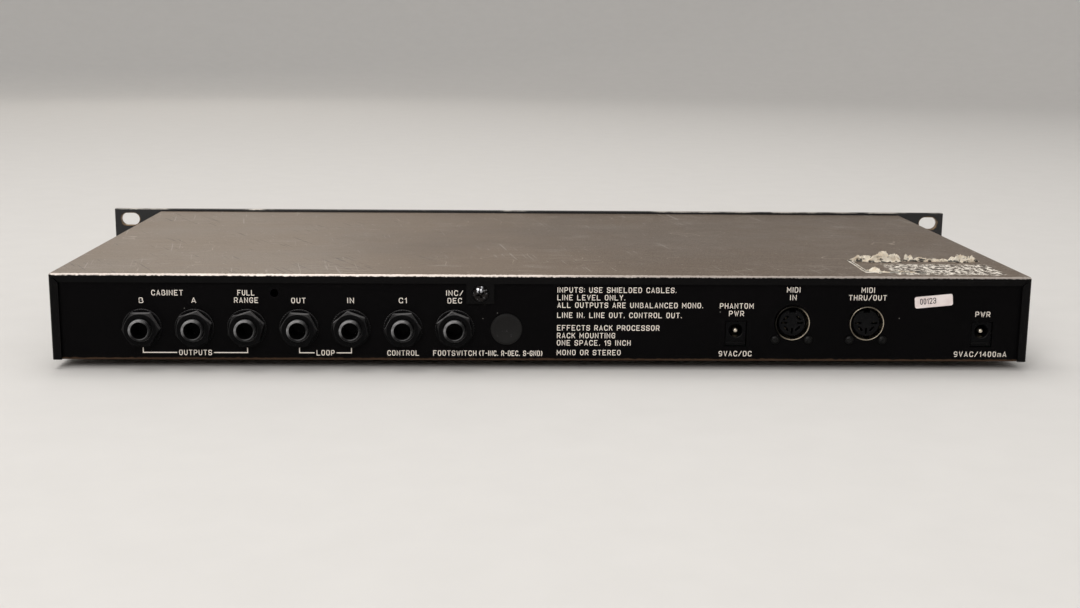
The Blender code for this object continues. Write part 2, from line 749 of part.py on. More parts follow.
def control_board():
    """Upright board behind the panel, with a switch behind each button and its ribbon cable."""
    left, right = -184.0 * MM, 178.0 * MM
    rear = CONTROL_BOARD_Y + BOARD
    board = box((left, CONTROL_BOARD_Y, 8.5 * MM), (right, rear, 38.5 * MM))
    for _, x in BUTTONS:
        ends = (CONTROL_BOARD_Y - 3.5 * MM, CONTROL_BOARD_Y + MM)
        switch = rectangle(x, PANEL_MIDDLE, (6 * MM, 6 * MM), *ends)
        plunger = round_tool(1.5 * MM, x, PANEL_MIDDLE, CONTROL_BOARD_Y - 4.5 * MM, CONTROL_BOARD_Y, 10)
        board = join(board, switch, plunger)
    block = rectangle(RIBBON_X, RIBBON_HIGH, (30 * MM, 6 * MM), rear - MM, rear + 5 * MM)
    board = join(board, block, ribbon_mesh(rear + 4.5 * MM))
    add("control_board", board, material("circuit_board", (0.02, 0.11, 0.05), 0.5))


def ribbon_mesh(rear):
    """Flat cable that leaves the upright board at y = rear and bends down to the main board."""
    start = Vector((rear, RIBBON_HIGH))
    end = Vector((RIBBON_LANDING, BOARD_TOP + 5 * MM + GAP))
    reach = 14 * MM
    handles = (start, start + Vector((reach, 0)), end + Vector((0, reach)), end)
    steps = 10
    centre = []
    slope = []
    for i in range(steps + 1):
        t = i / steps
        weights = ((1 - t) ** 3, 3 * t * (1 - t) ** 2, 3 * t * t * (1 - t), t**3)
        centre.append(sum((w * h for w, h in zip(weights, handles)), Vector((0, 0))))
    for i in range(steps + 1):
        ahead, behind = centre[min(i + 1, steps)], centre[max(i - 1, 0)]
        slope.append((ahead - behind).normalized())
    side = [Vector((-s.y, s.x)) * RIBBON_THICKNESS / 2 for s in slope]
    outline = [c + n for c, n in zip(centre, side)] + [c - n for c, n in zip(centre, side)][::-1]
    ends = (RIBBON_X - RIBBON_WIDTH / 2, RIBBON_X + RIBBON_WIDTH / 2)
    return prism(outline, *ends, "X")


def main_board():
    """Main board with the parts that are soldered to it."""
    half = BOARD_WIDTH / 2
    board = box((-half, BOARD_FRONT, BOARD_TOP - BOARD), (half, BOARD_BACK, BOARD_TOP))
    root = BOARD_TOP - BOARD / 2

    def chip(x, y, width, depth, height):
        return box((x - width / 2, y - depth / 2, root), (x + width / 2, y + depth / 2, BOARD_TOP + height))

    parts = [chip(RIBBON_X, RIBBON_LANDING, 30 * MM, 6 * MM, 5 * MM)]
    parts.append(chip(-20 * MM, 100 * MM, 22 * MM, 22 * MM, 3 * MM))
    parts.append(chip(20 * MM, 100 * MM, 16 * MM, 34 * MM, 4 * MM))
    parts += [chip(x * MM, 150 * MM, 7 * MM, 10 * MM, 4 * MM) for x in (50, 80, 110, 140, 170)]
    parts += [chip(x * MM, 90 * MM, 7 * MM, 10 * MM, 4 * MM) for x in (80, 120)]
    parts += [upright(5 * MM, x * MM, 140 * MM, root, BOARD_TOP + 12 * MM) for x in (-170, -155, -125)]
    add("main_board", join(board, *parts), material("circuit_board", (0.02, 0.11, 0.05), 0.5))


def main():
    clear_scene()
    unit = bpy.data.objects.new("unit", None)
    unit.location = (0, PANEL_FRONT, 0)
    bpy.context.scene.collection.objects.link(unit)
    for build in (
        front_panel,
        chassis_tray,
        back_plate,
        top_cover,
        feet,
        screws,
        back_jacks,
        input_jack,
        hole_plug,
        power_sockets,
        data_sockets,
        rotary_controls,
        push_buttons,
        display,
        level_meter,
        power_switch,
        control_board,
        main_board,
    ):
        build()


main()
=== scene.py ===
"""Looks for the rack effects unit: finishes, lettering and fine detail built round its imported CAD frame.

Lengths are metres. The front panel faces -Y, the sockets face +Y, and +Z is up.
"""

import json
import math
import random

import bmesh
import bpy
from mathutils import Matrix, Vector, noise


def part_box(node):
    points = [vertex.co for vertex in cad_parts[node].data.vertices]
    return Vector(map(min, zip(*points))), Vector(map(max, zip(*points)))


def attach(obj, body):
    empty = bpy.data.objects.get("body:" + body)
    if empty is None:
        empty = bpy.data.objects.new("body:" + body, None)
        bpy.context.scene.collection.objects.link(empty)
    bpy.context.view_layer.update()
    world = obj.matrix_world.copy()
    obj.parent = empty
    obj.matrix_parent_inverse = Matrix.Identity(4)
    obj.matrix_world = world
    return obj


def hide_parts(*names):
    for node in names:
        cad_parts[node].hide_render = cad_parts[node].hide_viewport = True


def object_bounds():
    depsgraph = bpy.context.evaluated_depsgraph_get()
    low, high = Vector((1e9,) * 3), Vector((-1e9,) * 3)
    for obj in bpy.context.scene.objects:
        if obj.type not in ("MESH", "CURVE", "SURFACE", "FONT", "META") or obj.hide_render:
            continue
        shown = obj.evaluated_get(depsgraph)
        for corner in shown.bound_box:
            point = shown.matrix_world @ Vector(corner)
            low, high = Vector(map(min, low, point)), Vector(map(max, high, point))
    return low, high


MM = 0.001
UNIT = "unit"
BACK, FRONT = 1, -1  # which way a piece faces along Y
BACK_JACKS = ("cabinet_b", "cabinet_a", "full_range", "loop_out", "loop_in", "control", "footswitch")
NUT_TURNS = (0, -18, -16, 4, 21, -2, 21)  # degrees that each jack's nut is turned
POWER_SOCKETS = ("aux_power", "power")
DATA_SOCKETS = (("data_in", 7, 0.97), ("data_out", 5, 0.6))  # name, pins, how dark the shade painted on its ring's upper +X side is
BUTTONS = ("bypass", "edit", "store", "exit")
KNOBS = ("input_level", "output_level", "preset")


# ---------------------------------------------------------------- stage


def camera():
    """The photograph's viewpoint: behind the unit, a little above it and almost square on."""
    yaw, pitch, roll = (math.radians(a) for a in (1.923, 11.019, 0.58))
    ahead = Vector((-math.sin(yaw) * math.cos(pitch), -math.cos(yaw) * math.cos(pitch), -math.sin(pitch)))
    right = ahead.cross(Vector((0, 0, 1))).normalized()
    up = right.cross(ahead)
    turn = Matrix.Rotation(-roll, 3, ahead)
    right, up = turn @ right, turn @ up
    data = bpy.data.cameras.new("camera")
    data.sensor_width = 36.0
    data.lens = 47.25
    data.clip_start = 0.01
    camera_object = bpy.data.objects.new("camera", data)
    basis = Matrix((right, up, -ahead)).transposed().to_4x4()
    camera_object.matrix_world = Matrix.Translation((0.02288, 0.72239, 0.14886)) @ basis
    bpy.context.scene.collection.objects.link(camera_object)
    bpy.context.scene.camera = camera_object


def area_light(name, place, target, size, power, colour=(1, 1, 1)):
    """A soft rectangular light that points at its target."""
    data = bpy.data.lights.new(name, "AREA")
    data.shape = "RECTANGLE"
    data.size, data.size_y = size
    data.energy = power
    data.color = colour
    lamp = bpy.data.objects.new(name, data)
    lamp.location = place
    lamp.rotation_euler = (Vector(target) - Vector(place)).to_track_quat("-Z", "Y").to_euler()
    bpy.context.scene.collection.objects.link(lamp)


def studio():
    """Pale floor that curves up into a wall all round, under soft lights and an even sky."""
    rows = [(0.0, 0.0), (0.8, 0.0), (2.4, 0.0)]
    curve = 1.2
    for i in range(1, 13):
        angle = math.radians(90 * i / 12)
        rows.append((2.4 + curve * math.sin(angle), curve * (1 - math.cos(angle))))
    rows.append((2.4 + curve, 3.0))
    mesh = lathe(rows, 96, upright=True)
    finish = Finish("studio_paper", roughness=0.9)
    grain = finish.noise(40, detail=3)
    finish.use(colour=finish.mix(grain, (0.66, 0.65, 0.64), (0.7, 0.69, 0.68)))
    floor = bpy.data.objects.new("studio_floor", mesh)
    mesh.materials.append(finish.material)
    mesh.shade_smooth()
    bpy.context.scene.collection.objects.link(floor)

    world = bpy.data.worlds.new("sky")
    world.use_nodes = True
    background = world.node_tree.nodes["Background"]
    background.inputs["Color"].default_value = (1.0, 0.98, 0.95, 1)
    background.inputs["Strength"].default_value = 0.55
    bpy.context.scene.world = world
    bpy.context.scene.view_settings.view_transform = "Standard"

    area_light("overhead", (0.3, -0.2, 1.9), (0, 0, 0), (1.8, 1.2), 18, (1, 0.97, 0.93))
    area_light("behind_camera", (0.5, 1.9, 1.2), (0, 0.1, 0), (1.4, 0.9), 24, (1, 0.98, 0.95))
    area_light("front_fill", (0.72, -2.2, 1.0), (0, 0, 0), (0.8, 0.7), 3.6, (1, 0.93, 0.83))


# ---------------------------------------------------------------- finishes


class Finish:
    """A Principled material under construction, with short calls for the nodes that feed it."""

    def __init__(self, name, roughness=0.5, metallic=0.0, **constants):
        self.material = bpy.data.materials.new(name)
        self.material.use_nodes = True
        self.tree = self.material.node_tree
        self.shader = self.tree.nodes["Principled BSDF"]
        self.shader.inputs["Roughness"].default_value = roughness
        self.shader.inputs["Metallic"].default_value = metallic
        for socket, value in constants.items():
            self.shader.inputs[socket.replace("_", " ")].default_value = value
        self.place = self.node("ShaderNodeTexCoord").outputs["Object"]
        self.normal = None

    def node(self, kind, inputs=(), **settings):
        made = self.tree.nodes.new(kind)
        for key, value in settings.items():
            setattr(made, key, value)
        for key, value in dict(inputs).items():
            self.feed(made.inputs[key], value)
        return made

    def feed(self, socket, value):
        if isinstance(value, bpy.types.NodeSocket):
            self.tree.links.new(value, socket)
        elif hasattr(value, "__len__") and len(value) == 3 and len(socket.default_value) == 4:
            socket.default_value = (*value, 1.0)
        else:
            socket.default_value = value

    def math(self, operation, a, b=0.0):
        return self.node("ShaderNodeMath", {0: a, 1: b}, operation=operation).outputs[0]

    def axis(self, letter):
        """One coordinate of the point being shaded."""
        return self.node("ShaderNodeSeparateXYZ", {0: self.place}).outputs[letter]

    def stretched(self, scale, turn=0.0):
        """Coordinates scaled by a different amount along each axis, after a turn about Z in degrees."""
        turned = self.node("ShaderNodeMapping", {"Vector": self.place, "Rotation": (0, 0, math.radians(turn))})
        return self.node("ShaderNodeMapping", {"Vector": turned.outputs[0], "Scale": scale}).outputs[0]

    def noise(self, scale, detail=2.0, place=None, roughness=0.55):
        inputs = {"Vector": place or self.place, "Scale": scale, "Detail": detail, "Roughness": roughness}
        return self.node("ShaderNodeTexNoise", inputs).outputs[0]

    def cells(self, scale, place=None, feature="F1"):
        """Distance from the nearest of many scattered points, counted in cell widths."""
        inputs = {"Vector": place or self.place, "Scale": scale}
        return self.node("ShaderNodeTexVoronoi", inputs, feature=feature).outputs["Distance"]

    def ramp(self, value, low, high, start=0.0, end=1.0):
        """Value rescaled smoothly so that low gives start and high gives end."""
        inputs = {"Value": value, "From Min": low, "From Max": high, "To Min": start, "To Max": end}
        made = self.node("ShaderNodeMapRange", inputs, interpolation_type="SMOOTHSTEP")
        return made.outputs[0]

    def mix(self, factor, a, b):
        made = self.node("ShaderNodeMix", data_type="RGBA")
        self.feed(made.inputs["Factor"], factor)
        for name, value in (("A", a), ("B", b)):
            socket = next(s for s in made.inputs if s.name == name and s.type == "RGBA")
            self.feed(socket, value)
        return next(s for s in made.outputs if s.type == "RGBA")

    def bump(self, height, depth):
        """Relief on top of any already added. Depth is how far the height's 0 to 1 rises."""
        inputs = {"Height": height, "Distance": depth, "Strength": 1.0}
        if self.normal:
            inputs["Normal"] = self.normal
        self.normal = self.node("ShaderNodeBump", inputs).outputs[0]
        self.feed(self.shader.inputs["Normal"], self.normal)

    def use(self, colour=None, roughness=None, metallic=None):
        for socket, value in (("Base Color", colour), ("Roughness", roughness), ("Metallic", metallic)):
            if value is not None:
                self.feed(self.shader.inputs[socket], value)
        return self.material


def either(finish, *masks):
    """The strongest of several masks."""
    result = masks[0]
    for mask in masks[1:]:
        result = finish.math("MAXIMUM", result, mask)
    return result


def near(finish, *distances):
    """Length of a vector given by its parts: how far the point is from an edge or a spot."""
    squares = [finish.math("MULTIPLY", d, d) for d in distances]
    total = squares[0]
    for square in squares[1:]:
        total = finish.math("ADD", total, square)
    return finish.math("SQRT", total)


def scratches(finish, scale, turn, fewer):
    """Mask of fine straight scratches that lie along one direction."""
    lines = finish.noise(1.0, detail=1.0, place=finish.stretched((scale * 1.6, scale * 70, scale * 8), turn))
    patches = finish.noise(38, detail=2.0)
    return finish.math("MULTIPLY", finish.ramp(lines, fewer, fewer + 0.05), finish.ramp(patches, 0.48, 0.62))


def cover_finish(high):
    """Dark textured paint: its top painted lighter as a reflection over some dust, brightest towards +X, bare
    metal along the bends, and glue left by a peeled label.
    """
    finish = Finish("textured_paint", roughness=0.42, Specular_IOR_Level=0.07)
    x, y, z = (finish.axis(letter) for letter in "XYZ")
    down = finish.math("SUBTRACT", high.z, z)
    back = finish.math("SUBTRACT", high.y, y)
    side = finish.math("SUBTRACT", high.x, finish.math("ABSOLUTE", x))
    ragged = finish.noise(900, detail=4)

    def pale_edge(distance, reach):
        """Mask of bare metal along the bend between the top and the face at this distance."""
        edge = finish.math("SUBTRACT", near(finish, down, distance), finish.math("MULTIPLY", ragged, reach))
        return finish.ramp(edge, 0.1 * MM, 0.45 * MM, 1, 0)

    drift = finish.math("ADD", x, finish.math("MULTIPLY", finish.noise(40, detail=3), 0.25))
    bare = either(finish, pale_edge(back, 1.1 * MM), pale_edge(side, 0.75 * MM))
    bare = finish.math("MULTIPLY", bare, finish.ramp(finish.math("ABSOLUTE", drift), 0.04, 0.18, 0.6, 1))

    top = finish.ramp(down, 0.3 * MM, 1.0 * MM, 1, 0)
    grain = finish.noise(1500, detail=2)
    coarse = finish.noise(420, detail=3)
    cloud = finish.noise(14, detail=4)
    blotches = finish.noise(620, detail=3)
    marks = either(
        finish,
        scratches(finish, 14, 12, 0.65),
        scratches(finish, 18, -35, 0.66),
        scratches(finish, 11, 80, 0.66),
    )
    specks = finish.ramp(finish.cells(160), 0.05, 0.09, 1, 0)
    # Painted reflection: the top is painted lighter than the lip and sides, brightest towards +X, over a little
    # real dust and texture.
    painted_glare = finish.ramp(finish.math("ADD", x, finish.math("MULTIPLY", cloud, 0.12)), -0.03, 0.16)
    dust_and_painted_light = finish.mix(painted_glare, (0.085, 0.06, 0.043), (0.2, 0.155, 0.12))
    dust_and_painted_light = finish.mix(finish.ramp(cloud, 0.35, 0.65, 0.4, 0), dust_and_painted_light, (0.06, 0.042, 0.034))
    dust_and_painted_light = finish.mix(finish.ramp(blotches, 0.35, 0.7, 0.2, 0.6), dust_and_painted_light, (0.15, 0.118, 0.092))
    dust_and_painted_light = finish.mix(finish.ramp(grain, 0.35, 0.7, 0, 0.6), dust_and_painted_light, (0.24, 0.2, 0.165))
    streaks = finish.noise(1.0, detail=5, place=finish.stretched((28, 240, 1), 2), roughness=0.75)
    dust_and_painted_light = finish.mix(finish.ramp(streaks, 0.3, 0.5, 0.14, 0), dust_and_painted_light, (0.055, 0.04, 0.033))
    dust_and_painted_light = finish.mix(finish.ramp(streaks, 0.5, 0.7, 0, 0.16), dust_and_painted_light, (0.27, 0.225, 0.185))
    dark_marks = finish.math("MULTIPLY", scratches(finish, 12, 62, 0.64), finish.ramp(x, 0.0, 0.08))
    dust_and_painted_light = finish.mix(finish.math("MULTIPLY", dark_marks, 0.7), dust_and_painted_light, (0.04, 0.03, 0.026))
    curls = finish.math("ABSOLUTE", finish.math("SUBTRACT", finish.noise(34, detail=1.5, roughness=0.4), 0.5))
    where = finish.ramp(finish.noise(21, detail=2), 0.52, 0.62)
    hairlines = finish.math("MULTIPLY", finish.ramp(curls, 0.001, 0.0035, 1, 0), where)
    dust_and_painted_light = finish.mix(finish.math("MULTIPLY", hairlines, 0.5), dust_and_painted_light, (0.45, 0.39, 0.33))
    clean = finish.mix(cloud, (0.0014, 0.0013, 0.0014), (0.003, 0.0027, 0.0029))
    side_paint = finish.mix(blotches, (0.007, 0.0063, 0.0062), (0.019, 0.017, 0.0165))
    clean = finish.mix(finish.ramp(side, 0.3 * MM, 1.0 * MM, 1, 0), clean, side_paint)
    # Only the top takes the painted reflection and dust; the lip and sides keep the plain paint.
    paint = finish.mix(top, clean, dust_and_painted_light)
    marks = finish.math("MULTIPLY", marks, top)
    paint = finish.mix(finish.math("MULTIPLY", marks, 0.5), paint, (0.4, 0.37, 0.34))
    specks = finish.math("MULTIPLY", finish.math("MULTIPLY", specks, top), 0.5)
    paint = finish.mix(specks, paint, (0.45, 0.42, 0.4))
    glue, stain = glue_masks(finish, x, back)
    paint = finish.mix(finish.math("MULTIPLY", stain, top), paint, (0.02, 0.016, 0.014))
    paint = finish.mix(finish.math("MULTIPLY", glue, top), paint, (0.85, 0.8, 0.72))
    colour = finish.mix(bare, paint, (0.62, 0.56, 0.52))
    roughness = finish.math("ADD", finish.ramp(cloud, 0.3, 0.7, 0.36, 0.46), finish.math("MULTIPLY", marks, 0.1))
    finish.bump(coarse, 0.035 * MM)
    finish.bump(grain, 0.02 * MM)
    finish.bump(finish.math("SUBTRACT", 1.0, bare), 0.05 * MM)
    finish.use(colour=colour, roughness=roughness, metallic=finish.math("MULTIPLY", bare, 0.75))
    return finish.material


def glue_masks(finish, x, back):
    """Broken rows of whitish glue, and the dirt between them, within the outline of the peeled label."""
    wobble = finish.math("MULTIPLY", finish.noise(300, detail=3), 4 * MM)
    inward = finish.math("ADD", x, wobble)
    left = finish.ramp(inward, -156 * MM, -154 * MM, 1, 0)
    right = finish.ramp(inward, -205 * MM, -203 * MM)
    edge = finish.math("ADD", back, wobble)
    rear = finish.ramp(edge, 6 * MM, 8 * MM)
    fore = finish.ramp(edge, 33 * MM, 38 * MM, 1, 0)
    rows = finish.noise(1.0, detail=4, place=finish.stretched((420, 330, 1)), roughness=0.75)
    inside = finish.math("MULTIPLY", finish.math("MULTIPLY", left, right), finish.math("MULTIPLY", rear, fore))
    glue = finish.math("MULTIPLY", inside, finish.ramp(rows, 0.5, 0.54))
    return glue, finish.math("MULTIPLY", inside, finish.ramp(rows, 0.42, 0.47, 0.8, 0))


def black_steel_finish(low):
    """Black satin paint on the tray, with a brown highlight painted along its bottom fold, and lightly dusted."""
    finish = Finish("black_satin_paint", roughness=0.4, Specular_IOR_Level=0.035)
    rise = finish.math("SUBTRACT", finish.axis("Z"), low.z)
    ragged = finish.noise(500, detail=4)
    fold = finish.math("SUBTRACT", rise, finish.math("MULTIPLY", ragged, 1.4 * MM))
    painted_highlight = finish.ramp(fold, -0.2 * MM, 0.3 * MM, 1, 0)
    dust = finish.ramp(finish.cells(110), 0.022, 0.034, 1, 0)
    cloud = finish.noise(25, detail=4)
    grain = finish.noise(1800, detail=2)
    colour = finish.mix(cloud, (0.001, 0.0009, 0.0011), (0.0026, 0.0023, 0.0026))
    colour = finish.mix(finish.math("MULTIPLY", dust, 0.5), colour, (0.3, 0.29, 0.27))
    # Painted highlight: a brown band along the bottom fold.
    colour = finish.mix(finish.math("MULTIPLY", painted_highlight, 0.7), colour, (0.07, 0.042, 0.026))
    finish.bump(grain, 0.012 * MM)
    return finish.use(colour=colour, roughness=finish.ramp(cloud, 0.3, 0.7, 0.36, 0.5))


def panel_finish(low, high):
    """Satin black panel with bare scuffed edges and brassy wear inside its rack slots."""
    finish = Finish("panel_paint", roughness=0.35, Specular_IOR_Level=0.4)
    x, z = (finish.axis(letter) for letter in "XZ")
    middle = (low.z + high.z) / 2
    from_middle = finish.math("ABSOLUTE", finish.math("SUBTRACT", z, middle))
    slot = rack_slots()[0]
    slot_x = finish.math("SUBTRACT", finish.math("ABSOLUTE", x), abs(slot.x))
    slot_z = finish.math("SUBTRACT", from_middle, abs(slot.z - middle))
    along = finish.math("MAXIMUM", finish.math("SUBTRACT", finish.math("ABSOLUTE", slot_x), 1.7 * MM), 0.0)
    ragged = finish.math("MULTIPLY", finish.noise(700, detail=4), 1.3 * MM)
    rim = finish.math("SUBTRACT", near(finish, along, slot_z), ragged)
    brass = finish.ramp(rim, 3.0 * MM, 3.5 * MM, 1, 0)
    top = finish.math("SUBTRACT", finish.math("SUBTRACT", high.z, z), finish.math("MULTIPLY", ragged, 0.6))
    patches = finish.ramp(finish.noise(30, detail=3), 0.5, 0.62)
    bare = finish.math("MULTIPLY", finish.ramp(top, -0.3 * MM, 0.15 * MM, 1, 0), patches)
    streaks = finish.noise(1.0, detail=3, place=finish.stretched((30, 900, 2600)))
    colour = finish.mix(streaks, (0.006, 0.006, 0.007), (0.014, 0.014, 0.016))
    colour = finish.mix(brass, colour, (0.2, 0.135, 0.08))
    colour = finish.mix(bare, colour, (0.55, 0.52, 0.48))
    finish.bump(streaks, 0.01 * MM)
    metal = either(finish, brass, bare)
    finish.use(colour=colour, roughness=finish.ramp(streaks, 0.3, 0.7, 0.3, 0.42))
    finish.use(metallic=finish.math("MULTIPLY", metal, 0.8))
    return finish.material


def plastic_finish(name, dark, light, roughness, grain_scale=1400, specular=0.5):
    """Moulded plastic: faint mottling, a fine spark texture and thin scuffs."""
    finish = Finish(name, roughness=roughness, Specular_IOR_Level=specular)
    cloud = finish.noise(120, detail=3)
    grain = finish.noise(grain_scale, detail=2)
    scuffs = finish.ramp(finish.noise(1.0, detail=2, place=finish.stretched((90, 1400, 500), 25)), 0.66, 0.72)
    colour = finish.mix(cloud, dark, light)
    colour = finish.mix(finish.math("MULTIPLY", scuffs, 0.15), colour, [min(1, c * 4 + 0.05) for c in light])
    finish.bump(grain, 0.008 * MM)
    return finish.use(colour=colour, roughness=finish.ramp(cloud, 0.3, 0.7, roughness - 0.06, roughness + 0.08))


def edged_plastic_finish(name, dark, light, dust_and_painted_light, face, roughness=0.3, specular=0.05):
    """Black moulding whose edges near the outside, the upper ones and those facing +X most, are paled by dust and
    by a painted highlight.
    """
    finish = Finish(name, roughness=roughness, Specular_IOR_Level=specular)
    normal = finish.node("ShaderNodeSeparateXYZ", {0: finish.node("ShaderNodeTexCoord").outputs["Normal"]})
    aside = finish.ramp(finish.math("ABSOLUTE", normal.outputs["Y"]), 0.55, 0.97, 1, 0)
    upward = finish.ramp(normal.outputs["Z"], -0.3, 0.8, 0.05, 1)
    # Painted highlight: edges facing +X are paled more, as if lit from that side.
    painted_light_side = finish.ramp(normal.outputs["X"], -0.9, 0.8, 0.4, 1)
    outside = finish.ramp(finish.axis("Y"), face - 0.8 * MM, face)
    cloud = finish.noise(170, detail=3)
    facing = finish.math("MULTIPLY", aside, upward)
    pale_edge = finish.math("MULTIPLY", facing, finish.math("MULTIPLY", outside, painted_light_side))
    pale_edge = finish.math("MULTIPLY", pale_edge, finish.ramp(cloud, 0.35, 0.6, 0.5, 1))
    # The pale edges are dust and a painted highlight.
    colour = finish.mix(pale_edge, finish.mix(cloud, dark, light), dust_and_painted_light)
    finish.bump(finish.noise(1400, detail=2), 0.006 * MM)
    return finish.use(colour=colour, roughness=finish.ramp(cloud, 0.3, 0.7, roughness - 0.06, roughness + 0.08))


def bushing_finish(face):
    """Black jack bushing with a highlight painted on its grooved rim, palest at its upper +X side and on the
    lower inner edge, and a dark bore.
    """
    finish = Finish("jack_moulding", roughness=0.35, Specular_IOR_Level=0.05)
    x, y, z = (finish.axis(letter) for letter in "XYZ")
    radius = near(finish, x, z)
    lean = finish.math("ADD", finish.math("MULTIPLY", x, 0.62), finish.math("MULTIPLY", z, 0.78))
    lean = finish.math("DIVIDE", lean, finish.math("MAXIMUM", radius, 0.1 * MM))
    outside = finish.ramp(y, face - 2.6 * MM, face - 1.4 * MM)
    rim = finish.math("MULTIPLY", finish.ramp(radius, 3.62 * MM, 3.8 * MM), outside)
    inner = finish.math("MULTIPLY", rim, finish.ramp(radius, 3.9 * MM, 4.3 * MM, 1, 0))
    # Painted highlight on the rim: strongest at its upper +X side and on the lower inner edge.
    upper = finish.math("MULTIPLY", rim, finish.ramp(lean, -0.1, 0.85, 0.06, 1))
    lower = finish.math("MULTIPLY", inner, finish.ramp(lean, -0.9, -0.3, 0.35, 0))
    wave = finish.math("SINE", finish.math("MULTIPLY", radius, 2 * math.pi / (0.55 * MM)))
    grooves = finish.ramp(wave, -1, 1, 0.6, 1)
    patches = finish.ramp(finish.noise(240, detail=3), 0.35, 0.65, 0.5, 1)
    pale_edge = finish.math("MULTIPLY", either(finish, upper, lower), finish.math("MULTIPLY", grooves, patches))
    cloud = finish.noise(120, detail=3)
    colour = finish.mix(cloud, (0.001, 0.001, 0.0011), (0.0028, 0.0028, 0.003))
    # The rim colour is a painted highlight.
    colour = finish.mix(pale_edge, colour, (0.34, 0.34, 0.35))
    finish.bump(finish.noise(1400, detail=2), 0.006 * MM)
    return finish.use(colour=colour, roughness=finish.ramp(cloud, 0.3, 0.7, 0.3, 0.42))


def ring_finish(name, dim):
    """Tarnished nickel ring with shade painted on its upper +X side. Dim is how dark that painted shade is."""
    finish = Finish(name, roughness=0.25, metallic=1.0)
    cloud = finish.ramp(finish.noise(260, detail=5), 0.35, 0.7)
    x, z = (finish.axis(letter) for letter in "XZ")
    lean = finish.math("ADD", finish.math("MULTIPLY", x, 0.8), finish.math("MULTIPLY", z, 0.6))
    colour = finish.mix(finish.math("MULTIPLY", cloud, 0.6), (0.72, 0.64, 0.52), (0.36, 0.29, 0.2))
    # Painted shade on the upper +X side.
    colour = finish.mix(finish.ramp(lean, -4 * MM, 2.5 * MM, 0, dim), colour, (0.006, 0.006, 0.006))
    finish.bump(finish.noise(1200), 0.01 * MM)
    return finish.use(colour=colour, roughness=finish.ramp(cloud, 0, 1, 0.22, 0.42))


def metal_finish(name, bright, dull, roughness, tarnish=0.5):
    """Plated metal with tarnish clouds and fine polishing lines."""
    finish = Finish(name, roughness=roughness, metallic=1.0)
    cloud = finish.ramp(finish.noise(260, detail=5), 0.35, 0.7)
    lines = finish.noise(1.0, detail=2, place=finish.stretched((2500, 400, 400)))
    colour = finish.mix(finish.math("MULTIPLY", cloud, tarnish), bright, dull)
    finish.bump(lines, 0.004 * MM)
    return finish.use(colour=colour, roughness=finish.ramp(cloud, 0, 1, roughness, roughness + 0.2))


def steel_painted_glints_finish():
    """Dark plated steel with highlights painted in bright spots, fainter where it faces down."""
    finish = Finish("steel_painted_glints", roughness=0.25, metallic=1.0)
    normal = finish.node("ShaderNodeSeparateXYZ", {0: finish.node("ShaderNodeTexCoord").outputs["Normal"]})
    upward = finish.ramp(normal.outputs["Z"], -0.3, 0.7, 0.1, 1)
    cloud = finish.noise(420, detail=4)
    painted_highlight = finish.math("MULTIPLY", finish.ramp(finish.noise(700, detail=1), 0.54, 0.62), upward)
    colour = finish.mix(cloud, (0.008, 0.007, 0.007), (0.035, 0.032, 0.031))
    # Painted highlight: bright spots, weaker on faces that point down.
    colour = finish.mix(painted_highlight, colour, (0.6, 0.61, 0.65))
    finish.bump(cloud, 0.01 * MM)
    return finish.use(colour=colour, roughness=finish.ramp(cloud, 0.3, 0.7, 0.2, 0.4))


def ink_finish(name, colour, wear=0.3):
    """Screen-printed ink, a little uneven and chipped."""
    finish = Finish(name, roughness=0.6)
    cloud = finish.noise(700, detail=4)
    chips = finish.math("MULTIPLY", finish.ramp(finish.noise(2600, detail=2), 0.62, 0.7), wear)
    shade = finish.mix(cloud, [c * 0.82 for c in colour], colour)
    shade = finish.mix(chips, shade, [c * 0.3 for c in colour])
    finish.bump(cloud, 0.004 * MM)
    return finish.use(colour=shade)


def paper_finish(name, light, dark, floor=None):
    """Fibrous paper with stains, and painted shade, with some glue dirt, in any folds that lie close to the floor
    height.
    """
    finish = Finish(name, roughness=0.75, Subsurface_Weight=0.1)
    fibres = finish.noise(1.0, detail=4, place=finish.stretched((700, 2400, 900), 20))
    stains = finish.noise(220, detail=4)
    colour = finish.mix(finish.ramp(stains, 0.35, 0.75), light, dark)
    colour = finish.mix(finish.math("MULTIPLY", fibres, 0.25), colour, dark)
    if floor:
        rise = finish.math("SUBTRACT", finish.axis("Z"), finish.math("MULTIPLY", stains, 1.2 * MM))
        # Painted shade, with some glue dirt, where the folds come down to the floor height.
        painted_shade_and_glue = finish.ramp(rise, floor - 0.2 * MM, floor + 0.5 * MM, 0.95, 0)
        spots = finish.ramp(finish.noise(330, detail=2), 0.48, 0.54)
        colour = finish.mix(finish.math("MULTIPLY", painted_shade_and_glue, spots), colour, (0.012, 0.01, 0.009))
        # Painted shade in the low dips of the folds.
        painted_hollow_shade = finish.ramp(finish.noise(1.0, detail=2, place=finish.stretched((300, 300, 700))), 0.57, 0.62)
        low_down = finish.ramp(rise, floor + 1.2 * MM, floor + 2.6 * MM, 0.9, 0)
        colour = finish.mix(finish.math("MULTIPLY", painted_hollow_shade, low_down), colour, (0.02, 0.017, 0.016))
    finish.bump(fibres, 0.03 * MM)
    return finish.use(colour=colour)


